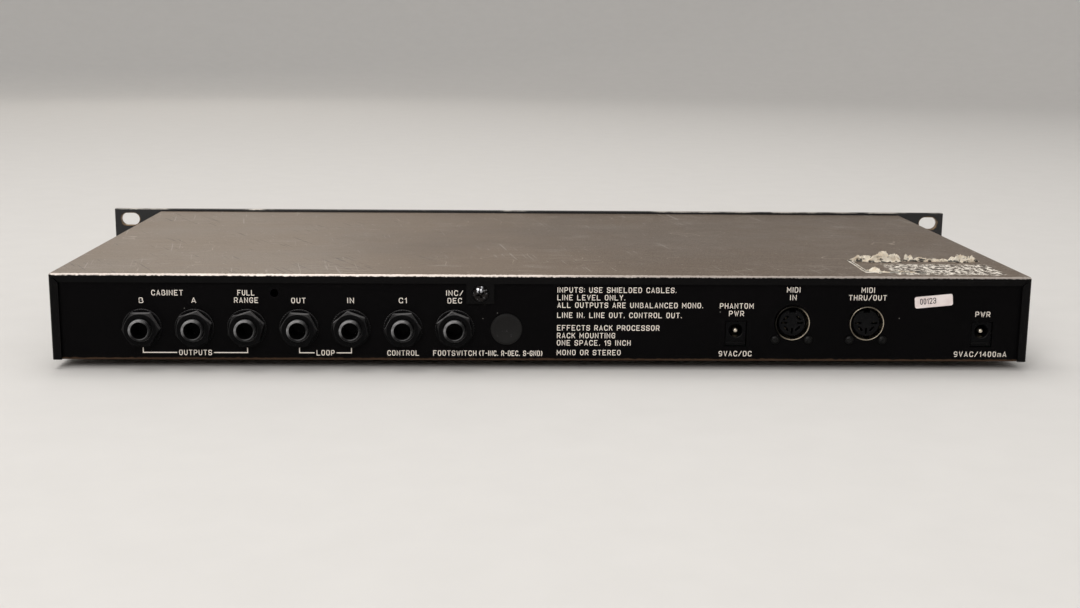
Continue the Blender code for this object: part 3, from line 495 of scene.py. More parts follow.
def board_finish():
    """Circuit board: green mask over a grid of copper tracks, with pale soldered pads."""
    finish = Finish("circuit_board", roughness=0.35)
    grid = {"Vector": finish.place, "Scale": 160, "Mortar Size": 0.03}
    shades = {"Color1": (0, 0, 0), "Color2": (0, 0, 0), "Mortar": (1, 1, 1)}
    tracks = finish.node("ShaderNodeTexBrick", {**grid, **shades}).outputs["Color"]
    pads = finish.ramp(finish.cells(260), 0.12, 0.16, 1, 0)
    cloud = finish.noise(80, detail=3)
    colour = finish.mix(cloud, (0.006, 0.05, 0.02), (0.01, 0.075, 0.03))
    colour = finish.mix(tracks, colour, (0.02, 0.12, 0.05))
    colour = finish.mix(pads, colour, (0.5, 0.5, 0.48))
    finish.bump(pads, 0.05 * MM)
    return finish.use(colour=colour)


def rubber_finish():
    """Soft black rubber with dust in its pores."""
    finish = Finish("foot_rubber", roughness=0.85, Specular_IOR_Level=0.3)
    dust = finish.noise(300, detail=4)
    colour = finish.mix(finish.ramp(dust, 0.45, 0.8), (0.012, 0.012, 0.012), (0.05, 0.048, 0.045))
    finish.bump(finish.noise(2200), 0.02 * MM)
    return finish.use(colour=colour)


# ---------------------------------------------------------------- shape tools


def mesh_of(bm, recalculate=True):
    """The bmesh as a mesh, with its faces turned to point out unless told otherwise."""
    if recalculate:
        bmesh.ops.recalc_face_normals(bm, faces=bm.faces)
    mesh = bpy.data.meshes.new("shape")
    bm.to_mesh(mesh)
    bm.free()
    return mesh


def box(low, high):
    """A block between two opposite corners."""
    low, high = Vector(low), Vector(high)
    bm = bmesh.new()
    bmesh.ops.create_cube(bm, size=1.0)
    bmesh.ops.scale(bm, vec=high - low, verts=bm.verts)
    bmesh.ops.translate(bm, vec=(low + high) / 2, verts=bm.verts)
    return mesh_of(bm)


def skin(rings, closed=False):
    """Quads between rings of points. A ring of one point is the tip of a fan."""
    bm = bmesh.new()
    rows = [[bm.verts.new(point) for point in ring] for ring in rings]
    pairs = list(zip(rows, rows[1:])) + ([(rows[-1], rows[0])] if closed else [])
    for near_row, far_row in pairs:
        count = max(len(near_row), len(far_row))
        if count == 1:
            continue
        for i in range(count):
            j = (i + 1) % count
            corners = (
                near_row[i % len(near_row)],
                near_row[j % len(near_row)],
                far_row[j % len(far_row)],
                far_row[i % len(far_row)],
            )
            bm.faces.new(dict.fromkeys(corners))
    return mesh_of(bm)


def turns(segments):
    """Even angles round a circle."""
    return [2 * math.pi * i / segments for i in range(segments)]


def lathe(profile, segments=64, closed=False, upright=False):
    """Turn (radius, height) points about Y, or about Z. A radius may be a function of the angle."""
    rings = []
    for radius, height in profile:
        if not callable(radius) and radius <= 0:
            rings.append([(0, 0, height) if upright else (0, height, 0)])
            continue
        ring = []
        for angle in turns(segments):
            r = radius(angle) if callable(radius) else radius
            h = height(angle) if callable(height) else height
            across, other = r * math.cos(angle), r * math.sin(angle)
            ring.append((across, other, h) if upright else (across, h, other))
        rings.append(ring)
    return skin(rings, closed)


def prism(outline, start, end, axis="Y"):
    """Extrude a flat outline along an axis."""
    slot = "XYZ".index(axis)
    rings = []
    bm = bmesh.new()
    for along in (start, end):
        ring = []
        for point in outline:
            place = list(point)
            place.insert(slot, along)
            ring.append(bm.verts.new(place))
        rings.append(ring)
        bm.faces.new(ring)
    for i in range(len(outline)):
        j = (i + 1) % len(outline)
        bm.faces.new((rings[0][i], rings[0][j], rings[1][j], rings[1][i]))
    return mesh_of(bm)


def rectangle(x, z, size, start, end):
    """A block along Y whose face is centred at (x, z)."""
    return box((x - size[0] / 2, start, z - size[1] / 2), (x + size[0] / 2, end, z + size[1] / 2))


def rounded(width, height, radius, steps=6):
    """Outline of a rectangle with round corners, centred on the origin."""
    points = []
    for k, (sx, sz) in enumerate(((1, 1), (-1, 1), (-1, -1), (1, -1))):
        for i in range(steps + 1):
            angle = math.radians(90 * k + 90 * i / steps)
            points.append(
                (
                    sx * (width / 2 - radius) + radius * math.cos(angle),
                    sz * (height / 2 - radius) + radius * math.sin(angle),
                )
            )
    return points


def moved(mesh, offset=(0, 0, 0), turn=0.0, axis="Y"):
    """The mesh turned by some degrees about an axis through the origin and then shifted."""
    mesh.transform(Matrix.Translation(offset) @ Matrix.Rotation(math.radians(turn), 4, axis))
    return mesh


def joined(*meshes):
    """Several meshes as one, left as they are."""
    bm = bmesh.new()
    for mesh in meshes:
        bm.from_mesh(mesh)
    return mesh_of(bm, recalculate=False)


def cut(body, *tools):
    """The body with every tool cut out of it. Tools mustn't overlap one another."""
    target = bpy.data.objects.new("target", body)
    cutter = bpy.data.objects.new("cutter", joined(*tools))
    for obj in (target, cutter):
        bpy.context.scene.collection.objects.link(obj)
    modifier = target.modifiers.new("cut", "BOOLEAN")
    modifier.object = cutter
    modifier.operation = "DIFFERENCE"
    graph = bpy.context.evaluated_depsgraph_get()
    result = bpy.data.meshes.new_from_object(target.evaluated_get(graph))
    for obj in (target, cutter):
        bpy.data.objects.remove(obj)
    return result


def welded(node):
    """A bmesh of a CAD node with its split corners welded and its flat faces made whole."""
    bm = bmesh.new()
    bm.from_mesh(FRAME["nodes"][node].data)
    bmesh.ops.remove_doubles(bm, verts=bm.verts, dist=0.001 * MM)
    bmesh.ops.dissolve_limit(bm, angle_limit=math.radians(0.5), verts=bm.verts, edges=bm.edges)
    return bm


def add(name, mesh, finish, body=UNIT, bevel=0.0, replaces=(), place=(0, 0, 0), sharp=32):
    """One visible piece that rides on a CAD body and may stand in for some of its nodes."""
    piece = bpy.data.objects.new(name, mesh)
    piece.location = place
    bpy.context.scene.collection.objects.link(piece)
    mesh.materials.clear()
    mesh.materials.append(finish)
    mesh.shade_smooth()
    mesh.set_sharp_from_angle(angle=math.radians(sharp))
    if bevel:
        modifier = piece.modifiers.new("soft_edges", "BEVEL")
        modifier.width = bevel
        modifier.segments = 2
        modifier.limit_method = "ANGLE"
        modifier.angle_limit = math.radians(sharp)
        modifier.harden_normals = True
    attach(piece, body)
    if replaces:
        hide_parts(*replaces)
    return piece


def middle(node):
    """The middle of a CAD node's box."""
    low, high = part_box(node)
    return (Vector(low) + Vector(high)) / 2


def rack_slots():
    """Middles of the rack slots that the record states as openings."""
    openings = FRAME["record"]["physics"]["openings"]
    boxes = [opening["box_m"] for opening in openings if opening["name"].endswith("_slot")]
    return [(Vector(low) + Vector(high)) / 2 for low, high in boxes]


# ---------------------------------------------------------------- lettering

# Single-line letters on a grid 8 wide and 12 tall. Each stroke is a run of points, an x digit and a
# hexadecimal y digit, and a ~ rounds its corners.
GLYPHS = {
    "A": "00 4C 80|13 73",
    "B": "06 00|~00 80 86 06|~06 76 7C 0C|0C 06",
    "C": "~89 8C 0C 00 80 83",
    "D": "0C 00|~00 80 8C 0C",
    "E": "8C 0C 00 80|06 66",
    "F": "8C 0C 00|06 66",
    "G": "~89 8C 0C 00 80 86|86 56",
    "H": "00 0C|80 8C|06 86",
    "I": "00 0C",
    "J": "~8C 80 00 03",
    "K": "00 0C|8C 05|38 80",
    "L": "0C 00 80",
    "M": "00 0C 54 AC A0",
    "N": "00 0C 80 8C",
    "O": "~4C 8C 80 00 0C 4C",
    "P": "00 0C|~0C 8C 85 05",
    "Q": "~4C 8C 80 00 0C 4C|53 80",
    "R": "00 0C|~0C 8C 85 05|45 80",
    "S": "~89 8C 0C 06 86 80 00 03",
    "T": "0C 8C|4C 40",
    "U": "~0C 00 80 8C",
    "V": "0C 40 8C",
    "W": "0C 30 5A 70 AC",
    "X": "00 8C|0C 80",
    "Y": "0C 46 8C|46 40",
    "Z": "0C 8C 00 80",
    "0": "~3C 7C 70 00 0C 3C",
    "1": "09 3C 30",
    "2": "~09 0C 8C 87 00|00 80",
    "3": "~09 0C 8C 86 36|~36 86 80 00 03",
    "4": "60 6C 04 84",
    "5": "7C 0C 07|~07 87 80 00 02",
    "6": "~7C 0C 00 80 87 07 04",
    "7": "0C 8C 30",
    "8": "~4C 7C 76 16 1C 4C|~46 86 80 00 06 46",
    "9": "~10 80 8C 0C 05 85 88",
    "m": "00 08|~04 08 48 40|~44 48 88 80",
    "/": "00 7C",
    "(": "~3C 09 03 30",
    ")": "~0C 39 33 00",
    "-": "06 56",
    "+": "06 66|33 39",
    ",": "11 00",
    ".": "00 01",
    ":": "02 03|08 09",
}
SPACE = 8.5
LETTER_GAP = 5.6
UNIT_WIDTH = 0.159 * MM
GLYPH_HEIGHT = 12


def rounded_run(points):
    """The same run of points with its corners cut twice, which rounds them."""
    for _ in range(2):
        cut_points = [points[0]]
        for a, b in zip(points, points[1:]):
            cut_points += [a.lerp(b, 0.25), a.lerp(b, 0.75)]
        points = cut_points + [points[-1]]
    return points


def word_strokes(text):
    """Strokes of a line of text from x = 0, in glyph units, and its whole width."""
    strokes, x = [], 0
    for letter in text:
        if letter == " ":
            x += SPACE
            continue
        width = 0
        for stroke in GLYPHS[letter].split("|"):
            points = [Vector((int(p[0], 16), int(p[1], 16))) for p in stroke.lstrip("~").split()]
            width = max(width, *(p.x for p in points))
            if stroke.startswith("~"):
                points = rounded_run(points)
            strokes.append([p + Vector((x, 0)) for p in points])
        x += width + LETTER_GAP
    return strokes, x - LETTER_GAP


def band(points, width, cap=4):
    """Outline of a stroke of even width with round ends, as matching left and right points."""
    sides = []
    for i, point in enumerate(points):
        before = (point - points[i - 1]).normalized() if i else None
        after = (points[i + 1] - point).normalized() if i + 1 < len(points) else None
        ways = [way for way in (before, after) if way]
        way = sum(ways, Vector((0, 0))).normalized()
        across = Vector((-way.y, way.x))
        spread = width / 2 / max(0.5, abs(across.dot(Vector((-ways[0].y, ways[0].x)))))
        sides.append((point + across * spread, point - across * spread))
    for end, sign in ((0, -1), (-1, 1)):
        point = points[end]
        neighbour = points[1] if end == 0 else points[-2]
        way = (point - neighbour).normalized()
        across = Vector((-way.y, way.x)) * (-sign if end == 0 else 1)
        tips = []
        for k in range(1, cap + 1):
            angle = math.radians(90 * k / cap)
            out, half = way * math.sin(angle) * width / 2, across * max(0.02, math.cos(angle)) * width / 2
            tips.append((point + out + half, point + out - half))
        if end == 0:
            sides = tips[::-1] + sides
        else:
            sides = sides + tips
    return sides


class Print:
    """Flat printed strokes gathered into one mesh on a face that looks along Y."""

    def __init__(self, y, facing):
        self.bm = bmesh.new()
        self.y = y
        self.facing = facing

    def stroke(self, points, width):
        """A stroke through world (x, z) points."""
        y = self.y + self.facing * 0.03 * MM
        rows = [[self.bm.verts.new((p.x, y, p.y)) for p in pair] for pair in band(points, width)]
        for (a, b), (c, d) in zip(rows, rows[1:]):
            face = self.bm.faces.new((a, b, d, c))
            face.normal_update()
            if face.normal.y * self.facing < 0:
                face.normal_flip()

    def text(self, words, x, z, height=2.45 * MM, width=None, weight=0.32 * MM, align="centre", tilt=0.0):
        """A line of text whose middle, or left end, is at (x, z). Width stretches or squeezes it to fit."""
        strokes, units = word_strokes(words)
        tall = (height - weight) / GLYPH_HEIGHT
        wide = (width - weight) / units if width else UNIT_WIDTH * height / (2.45 * MM)
        shift = units / 2 if align == "centre" else 0
        turn = Matrix.Rotation(tilt, 2)
        for points in strokes:
            placed = []
            for p in points:
                flat = turn @ Vector(((p.x - shift) * wide, (p.y - GLYPH_HEIGHT / 2) * tall))
                placed.append(Vector((x - self.facing * flat.x, z + flat.y)))
            self.stroke(placed, weight)

    def line(self, *points, width=0.42 * MM):
        """A ruled line through plain (x, z) pairs."""
        self.stroke([Vector(p) for p in points], width)

    def mesh(self):
        return mesh_of(self.bm, recalculate=False)


# ---------------------------------------------------------------- case


def case_cover(finish):
    """The folded cover with rounded bends and a mitre slit at each top corner of its lip."""
    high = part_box("top_cover")[1]
    bm = welded("top_cover")
    bends = []
    for edge in bm.edges:
        a, b = (v.co for v in edge.verts)
        top = abs(a.z - high.z) + abs(b.z - high.z) < 0.01 * MM
        rear = abs(a.y - high.y) + abs(b.y - high.y) < 0.01 * MM
        side = abs(abs(a.x) - high.x) + abs(abs(b.x) - high.x) < 0.01 * MM and a.x * b.x > 0
        if top + rear + side >= 2:
            bends.append(edge)
    bmesh.ops.bevel(bm, geom=bends, offset=1.2 * MM, segments=5, profile=0.5, affect="EDGES")
    shell = mesh_of(bm)
    slits = []
    for side in (-1, 1):
        slit = box((-3.2 * MM, -1.5 * MM, -0.2 * MM), (1.6 * MM, 1.0 * MM, 0.2 * MM))
        slit = moved(slit, turn=-45 if side > 0 else -135)
        slits.append(moved(slit, (side * (high.x - 3.0 * MM), high.y, high.z - 3.0 * MM)))
    add("case_cover", cut(shell, *slits), finish, replaces=["top_cover"], sharp=40)


def chassis(finish):
    """The tray and its back plate, with softened edges."""
    for node in ("chassis_tray", "back_plate"):
        mesh = mesh_of(welded(node))
        add(f"{node}_painted", mesh, finish, replaces=[node], bevel=0.2 * MM)


def slot_shape(length, width, segments=24):
    """Outline of a hole with round ends, lying along X."""
    points = []
    for side in (1, -1):
        for i in range(segments + 1):
            angle = math.radians(-90 + 180 * i / segments) + (0 if side > 0 else math.pi)
            centre = side * (length - width) / 2
            points.append((centre + width / 2 * math.cos(angle), width / 2 * math.sin(angle)))
    return points


def panel(finish):
    """The rack panel, with round-ended slots in its ears and an opening for each control."""
    low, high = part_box("front_panel")
    centre = (low.z + high.z) / 2
    start, end = low.y - MM, high.y + MM
    tools = []
    for place in rack_slots():
        slot = prism(slot_shape(10.4 * MM, 7.0 * MM), start, end)
        tools.append(moved(slot, (place.x, 0, place.z)))
    for node in [f"{name}_control" for name in KNOBS] + ["input_jack"]:
        hole = lathe(((0, start), (5.1 * MM, start), (5.1 * MM, end), (0, end)), 64)
        tools.append(moved(hole, (middle(node).x, 0, centre)))
    for node in [f"{name}_button" for name in BUTTONS]:
        tools.append(rectangle(middle(node).x, centre, (10.6 * MM, 6.6 * MM), start, end))
    for node in ("level_meter", "display_window"):
        a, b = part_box(node)
        tools.append(rectangle((a.x + b.x) / 2, centre, (b.x - a.x + 0.6 * MM, b.z - a.z + 0.6 * MM), start, end))
    tools.append(rectangle(middle("switch_housing").x, centre, (13.4 * MM, 19.8 * MM), start, end))
    plate = cut(box(low, high), *tools)
    add("panel", plate, finish, replaces=["front_panel"], bevel=0.35 * MM)


def feet(finish, steel):
    """Round rubber feet with a recess underneath and the screw that holds each one."""
    for end in ("front", "rear"):
        for side in ("left", "right"):
            node = f"foot_{end}_{side}"
            low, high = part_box(node)
            radius = (high.x - low.x) / 2
            top = high.z - low.z
            profile = (
                (0, 1.4 * MM),
                (2.9 * MM, 1.4 * MM),
                (3.1 * MM, 0.3 * MM),
                (3.5 * MM, 0),
                (radius - 1.4 * MM, 0),
                (radius - 0.5 * MM, 0.35 * MM),
                (radius - 0.1 * MM, 1.2 * MM),
                (radius, top - 0.6 * MM),
                (radius - 0.2 * MM, top),
                (0, top),
            )
            place = (*middle(node).xy, low.z)
            add(f"{node}_pad", lathe(profile, 64, upright=True), finish, replaces=[node], place=place)
            head = moved(screw_shape(2.4 * MM, 0.9 * MM, 1.0 * MM), turn=-90, axis="X")
            place = (place[0], place[1], low.z + 1.4 * MM)
            add(f"{node}_screw", head, steel, place=place)


def screw_shape(radius, height, shank, slotted=False):
    """A domed screw head seated at y = 0 and facing +Y, with a cross or a single slot and its shank behind."""
    profile = [(0, -5 * MM), (shank, -5 * MM), (shank, 0.1 * MM), (radius, 0.1 * MM), (radius, height * 0.3)]
    for i in range(1, 9):
        angle = math.radians(90 * i / 8)
        profile.append((radius * math.cos(angle), height * (0.3 + 0.7 * math.sin(angle))))
    head = lathe([(r if r > 1e-6 else 0, y) for r, y in profile], 64)
    if slotted:
        return cut(head, box((-3 * MM, height - 0.6 * MM, -0.28 * MM), (3 * MM, height + MM, 0.28 * MM)))
    arm, wide, depth = radius * 0.55, radius * 0.12, height * 0.75
    for turn in (0, 90):
        rings = []
        tip = (arm * 0.35, wide * 0.5, height - depth)
        for reach, half, y in (tip, (arm, wide, height), (arm, wide, height + MM)):
            rings.append([(-reach, y, -half), (reach, y, -half), (reach, y, half), (-reach, y, half)])
        blade = skin([[(0, height - depth, 0)], *rings, [(0, height + MM, 0)]])
        head = cut(head, moved(blade, turn=turn + 20))
    return head


def screws(steel, black_steel):
    """Cross-head screws at the back and sides, and the slotted ones beside the data sockets."""
    place = (middle("back_screw").x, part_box("top_cover")[1].y, middle("back_screw").z)
    head = screw_shape(3.55 * MM, 2.4 * MM, 1.4 * MM)
    add("back_cross_screw", head, steel, replaces=["back_screw"], place=place)
    side_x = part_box("top_cover")[1].x
    for name, side in (("left", -1), ("right", 1)):
        for end in ("front", "rear"):
            node = f"side_screw_{name}_{end}"
            mesh = moved(screw_shape(3.55 * MM, 2.4 * MM, 1.4 * MM), turn=-90 * side, axis="Z")
            place = (side * side_x, middle(node).y, middle(node).z)
            add(f"{node}_head", mesh, steel, replaces=[node], place=place)
    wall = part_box("back_plate")[1].y
    for socket, _, _ in DATA_SOCKETS:
        for side, turn in (("left", 35), ("right", -20)):
            node = f"{socket}_screw_{side}"
            mesh = moved(screw_shape(1.95 * MM, 1.35 * MM, 0.9 * MM, slotted=True), turn=turn)
            place = (middle(node).x, wall + 0.2 * MM, middle(node).z)
            add(f"{node}_head", mesh, black_steel, replaces=[node], place=place)


# ---------------------------------------------------------------- sockets


def jack_shape(reach, wall):
    """Bushing of a quarter-inch jack with a short thread and a flared mouth, and the block behind the wall."""
    inner = wall - 1.5 * MM
    profile = [(0, inner - 3.4 * MM), (4.6 * MM, inner - 3 * MM)]
    y = wall + 0.4 * MM
    while y < reach - 1.7 * MM:
        profile += [(4.8 * MM, y), (4.8 * MM, y + 0.1 * MM), (4.5 * MM, y + 0.3 * MM), (4.5 * MM, y + 0.4 * MM)]
        y += 0.6 * MM
    profile += [
        (4.7 * MM, reach - 1.1 * MM),
        (4.8 * MM, reach - 0.9 * MM),
        (4.8 * MM, reach - 0.35 * MM),
        (4.66 * MM, reach - 0.08 * MM),
        (4.45 * MM, reach),
        (4.0 * MM, reach),
        (3.78 * MM, reach - 0.12 * MM),
        (3.6 * MM, reach - 0.5 * MM),
        (3.35 * MM, reach - 1.2 * MM),
        (3.25 * MM, reach - 2.2 * MM),
        (3.25 * MM, wall - 18 * MM),
        (0, wall - 18 * MM),
    ]
    block = prism(rounded(14.4 * MM, 14.4 * MM, 1.2 * MM), inner - 22 * MM, inner - 0.3 * MM)
    radius, start, end = 4.2 * MM, inner - 16 * MM, inner + MM
    hollow = lathe(((0, start), (radius, start), (radius, end), (0, end)), 48)
    return joined(cut(block, hollow), lathe(profile, 80))


def contact_shape(reach):
    """Springy strip with a bent tip, seen inside the bore."""
    top = 3.1 * MM
    outline = [
        (reach - 5.0 * MM, top),
        (reach - 6.5 * MM, top - 1.3 * MM),
        (reach - 8.0 * MM, top - 0.3 * MM),
        (reach - 14 * MM, top),
    ]
    outline += [(y, z + 0.25 * MM) for y, z in outline[::-1]]
    return prism(outline, -0.9 * MM, 0.9 * MM, "X")


def nut_shape(base, turn):
    """Chamfered hexagon nut."""
    half = 7.1 * MM
    top = base + 3.5 * MM
    start = math.radians(turn)

    def hexagon(angle):
        return half / math.cos((angle - start) % (math.pi / 3) - math.pi / 6)

    def shoulder(angle):
        return top - 0.1 * MM - (hexagon(angle) - half) * 0.6

    profile = (
        (5.0 * MM, base),
        (hexagon, base),
        (hexagon, shoulder),
        (half * 0.985, top),
        (5.35 * MM, top),
        (5.0 * MM, top - 0.35 * MM),
    )
    return lathe(profile, 144, closed=True)


def washer_shape(base):
    """Flat washer with ribs round its rim."""

    def rim(angle):
        return (8.55 + 0.1 * math.cos(48 * angle)) * MM

    profile = (
        (5.2 * MM, base),
        (8.5 * MM, base),
        (rim, base + 0.12 * MM),
        (rim, base + 0.45 * MM),
        (8.3 * MM, base + 0.6 * MM),
        (7.7 * MM, base + 0.6 * MM),
        (7.5 * MM, base + 0.5 * MM),
        (5.2 * MM, base + 0.5 * MM),
    )
    return lathe(profile, 192, closed=True)


def jacks(plastic, front_plastic, hardware, contact):
    """Every quarter-inch jack with its contact, nut and washer, along the back and in the front."""
    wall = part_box("back_plate")[1].y
    for name, turn in zip(BACK_JACKS, NUT_TURNS):
        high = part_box(f"{name}_jack")[1]
        place = (middle(f"{name}_jack").x, 0, middle(f"{name}_jack").z)
        body = jack_shape(high.y, wall)
        add(f"{name}_bushing", body, plastic, replaces=[f"{name}_jack"], place=place)
        add(f"{name}_contact", contact_shape(high.y), contact, place=place)
        nut = joined(nut_shape(wall + 0.9 * MM, turn), washer_shape(wall + 0.3 * MM))
        add(f"{name}_hexagon", nut, hardware, replaces=[f"{name}_nut"], place=place, sharp=25)
    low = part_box("input_jack")[0]
    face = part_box("front_panel")[0].y
    place = (middle("input_jack").x, 0, middle("input_jack").z)
    body = moved(jack_shape(-low.y, -face), turn=180, axis="Z")
    add("input_bushing", body, front_plastic, replaces=["input_jack"], place=place)
    strip = moved(contact_shape(-low.y), turn=180, axis="Z")
    add("input_contact", strip, contact, place=place)
    nut = moved(joined(nut_shape(-face + 0.9 * MM, 12), washer_shape(-face + 0.3 * MM)), turn=180, axis="Z")
    add("input_hexagon", nut, hardware, replaces=["input_nut"], place=place, sharp=25)


def plug(finish):
    """Snap-in blanking plug with a shallow dished cap."""
    low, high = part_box("hole_plug")
    base = high.y - 0.8 * MM
    profile = (
        (0, low.y),
        (4.7 * MM, low.y),
        (5.3 * MM, low.y + 1.8 * MM),
        (5.2 * MM, base),
        (6.95 * MM, base),
        (7.0 * MM, base + 0.3 * MM),
        (6.7 * MM, high.y - 0.1 * MM),
        (6.3 * MM, high.y),
        (5.4 * MM, high.y - 0.08 * MM),
        (5.1 * MM, high.y - 0.22 * MM),
        (0, high.y - 0.15 * MM),
    )
    place = (middle("hole_plug").x, 0, middle("hole_plug").z)
    add("hole_plug_cap", lathe(profile, 96), finish, replaces=["hole_plug"], place=place)


def power_inlets(plastic, metal, dull_metal):
    """Barrel sockets: a moulded face with a round well, a centre pin and a side spring."""
    for name in POWER_SOCKETS:
        node = f"{name}_socket"
        low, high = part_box(node)
        centre = (middle(node).x, 0, high.z - 4.1 * MM)
        well = lathe(
            (
                (0, high.y - 9.5 * MM),
                (2.9 * MM, high.y - 9.5 * MM),
                (2.9 * MM, high.y - 0.5 * MM),
                (3.2 * MM, high.y),
                (3.2 * MM, high.y + MM),
                (0, high.y + MM),
            ),
            64,
        )
        block = cut(box(low, high), moved(well, centre))
        groove_start = (low.x - MM, high.y - 0.35 * MM, low.z + 1.6 * MM)
        groove_end = (high.x + MM, high.y + MM, low.z + 1.9 * MM)
        block = cut(block, box(groove_start, groove_end))
        add(f"{name}_block", block, plastic, replaces=[node], bevel=0.2 * MM)
        pin = lathe(
            (
                (0, high.y - 9.6 * MM),
                (1.0 * MM, high.y - 9.6 * MM),
                (1.0 * MM, high.y - 1.4 * MM),
                (0.75 * MM, high.y - 0.95 * MM),
                (0.4 * MM, high.y - 0.8 * MM),
                (0, high.y - 0.78 * MM),
            ),
            32,
        )
        add(f"{name}_pin", pin, metal, place=centre)
        spring = prism(
            (
                (high.y - 1.2 * MM, -2.85 * MM),
                (high.y - 4.0 * MM, -2.1 * MM),
                (high.y - 9.3 * MM, -2.8 * MM),
                (high.y - 9.3 * MM, -2.6 * MM),
                (high.y - 4.0 * MM, -1.9 * MM),
                (high.y - 1.2 * MM, -2.65 * MM),
            ),
            -1.1 * MM,
            1.1 * MM,
            "X",
        )
        add(f"{name}_spring", spring, dull_metal, place=centre)


def data_ports(plastic, contact):
    """Round sockets: a rolled metal ring round an insert with slotted pin holes and a key."""
    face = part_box("back_plate")[1].y
    for name, pins, dim in DATA_SOCKETS:
        socket, shell = f"{name}_socket", f"{name}_shell"
        low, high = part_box(socket)
        place = (middle(shell).x, 0, middle(shell).z)
        ring_low, ring_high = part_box(shell)
        ring = lathe(
            (
                (7.15 * MM, ring_low.y),
                (7.65 * MM, ring_low.y),
                (7.68 * MM, ring_high.y - 0.35 * MM),
                (7.6 * MM, ring_high.y - 0.1 * MM),
                (7.45 * MM, ring_high.y),
                (7.3 * MM, ring_high.y - 0.02 * MM),
                (7.18 * MM, ring_high.y - 0.2 * MM),
            ),
            128,
            closed=True,
        )
        add(f"{name}_ring", ring, ring_finish(f"{name}_nickel", dim), replaces=[shell], place=place)
        insert = lathe(
            (
                (0, face - 12 * MM),
                (5.9 * MM, face - 12 * MM),
                (5.9 * MM, face - 0.25 * MM),
                (5.65 * MM, face),
                (0, face),
            ),
            96,
        )
        angles = [-90, -45, 0, 45, 90] + ([-128, 128] if pins == 7 else [])
        tools = [box((-1.5 * MM, face - 6 * MM, 4.7 * MM), (1.5 * MM, face + MM, 7 * MM))]
        springs = []
        for degrees in angles:
            angle = math.radians(degrees)
            spot = (3.6 * MM * math.sin(angle), 0, -3.6 * MM * math.cos(angle))
            hole = prism(slot_shape(2.9 * MM, 1.0 * MM, 10), face - 6 * MM, face + MM)
            tools.append(moved(moved(hole, turn=degrees + 90), spot))
            tip = box((-0.3 * MM, face - 5 * MM, 0.16 * MM), (0.3 * MM, face - 1.2 * MM, 0.4 * MM))
            springs.append(moved(moved(tip, turn=degrees + 90), spot))
        insert = cut(insert, *tools)
        housing = cut(
            moved(box(low, (high.x, face - 1.5 * MM, high.z)), (-place[0], 0, -place[2])),
            lathe(((0, face - 10 * MM), (8.0 * MM, face - 10 * MM), (8.0 * MM, face), (0, face)), 96),
        )
        add(f"{name}_insert", joined(insert, housing), plastic, replaces=[socket], place=place)
        add(f"{name}_contacts", joined(*springs), contact, place=place)


# ---------------------------------------------------------------- front controls


def knobs(plastic, ink):
    """Fluted knobs with a pointer line, each on its own shaft."""
    for name in KNOBS:
        low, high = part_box(f"{name}_knob")
        radius, near_face, far_face = (high.x - low.x) / 2, high.y, low.y
        grip = radius - 1.3 * MM
        flutes = 18 if radius < 9 * MM else 26

        def fluted(size, depth=0.35 * MM, flutes=flutes):
            return lambda angle: size - depth * (0.5 - 0.5 * math.cos(flutes * angle)) ** 2

        profile = (
            (0, far_face + 3.8 * MM),
            (3.2 * MM, far_face + 3.8 * MM),
            (3.2 * MM, near_face),
            (radius - 0.25 * MM, near_face),
            (radius, near_face - 0.3 * MM),
            (radius, near_face - 1.5 * MM),
            (radius - 0.35 * MM, near_face - 2.0 * MM),
            (grip + 0.2 * MM, near_face - 2.9 * MM),
            (fluted(grip), near_face - 3.3 * MM),
            (fluted(grip - 0.3 * MM), far_face + 1.0 * MM),
            (fluted(grip - 0.6 * MM, 0.25 * MM), far_face + 0.4 * MM),
            (grip - 1.2 * MM, far_face + 0.05 * MM),
            (grip - 1.7 * MM, far_face),
            (grip - 2.3 * MM, far_face + 0.25 * MM),
            (0, far_face + 0.3 * MM),
        )
        place = (middle(f"{name}_knob").x, 0, middle(f"{name}_knob").z)
        cap = lathe(profile, 288)
        add(f"{name}_cap", cap, plastic, name, replaces=[f"{name}_knob"], place=place)
        half = 0.4 * MM
        pointer = joined(
            box((-half, far_face + 0.2 * MM, 1.2 * MM), (half, far_face + 0.34 * MM, grip - 2.4 * MM)),
            box((-half, near_face - 1.6 * MM, radius - half), (half, near_face - half, radius + 0.05 * MM)),
        )
        add(f"{name}_pointer", pointer, ink, name, place=place)


def buttons(plastic):
    """Push buttons with a dished cap, a retaining flange and a stem."""
    for name in BUTTONS:
        node = f"{name}_button"
        low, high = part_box(node)
        place = (middle(node).x, 0, middle(node).z)
        rings = []
        for width, tall, radius, y in (
            (10.0, 6.0, 0.4, low.y + 5.0 * MM),
            (10.0, 6.0, 0.5, low.y + 0.7 * MM),
            (9.8, 5.8, 0.6, low.y + 0.2 * MM),
            (9.3, 5.3, 0.6, low.y),
            (8.4, 4.4, 0.6, low.y + 0.12 * MM),
            (5.0, 2.2, 0.5, low.y + 0.3 * MM),
        ):
            outline = rounded(width * MM, tall * MM, radius * MM)
            rings.append([(x, y, z) for x, z in outline])
        cap = skin([[(0, low.y + 5.0 * MM, 0)], *rings, [(0, low.y + 0.32 * MM, 0)]])
        flange = prism(rounded(12.4 * MM, 8.4 * MM, 0.8 * MM), low.y + 5.9 * MM, low.y + 7.1 * MM)
        stem = prism(rounded(4 * MM, 4 * MM, 0.4 * MM), low.y + 4.5 * MM, high.y)
        mesh = joined(cap, flange, stem)
        add(f"{name}_key", mesh, plastic, name, replaces=[node], place=place, sharp=50)


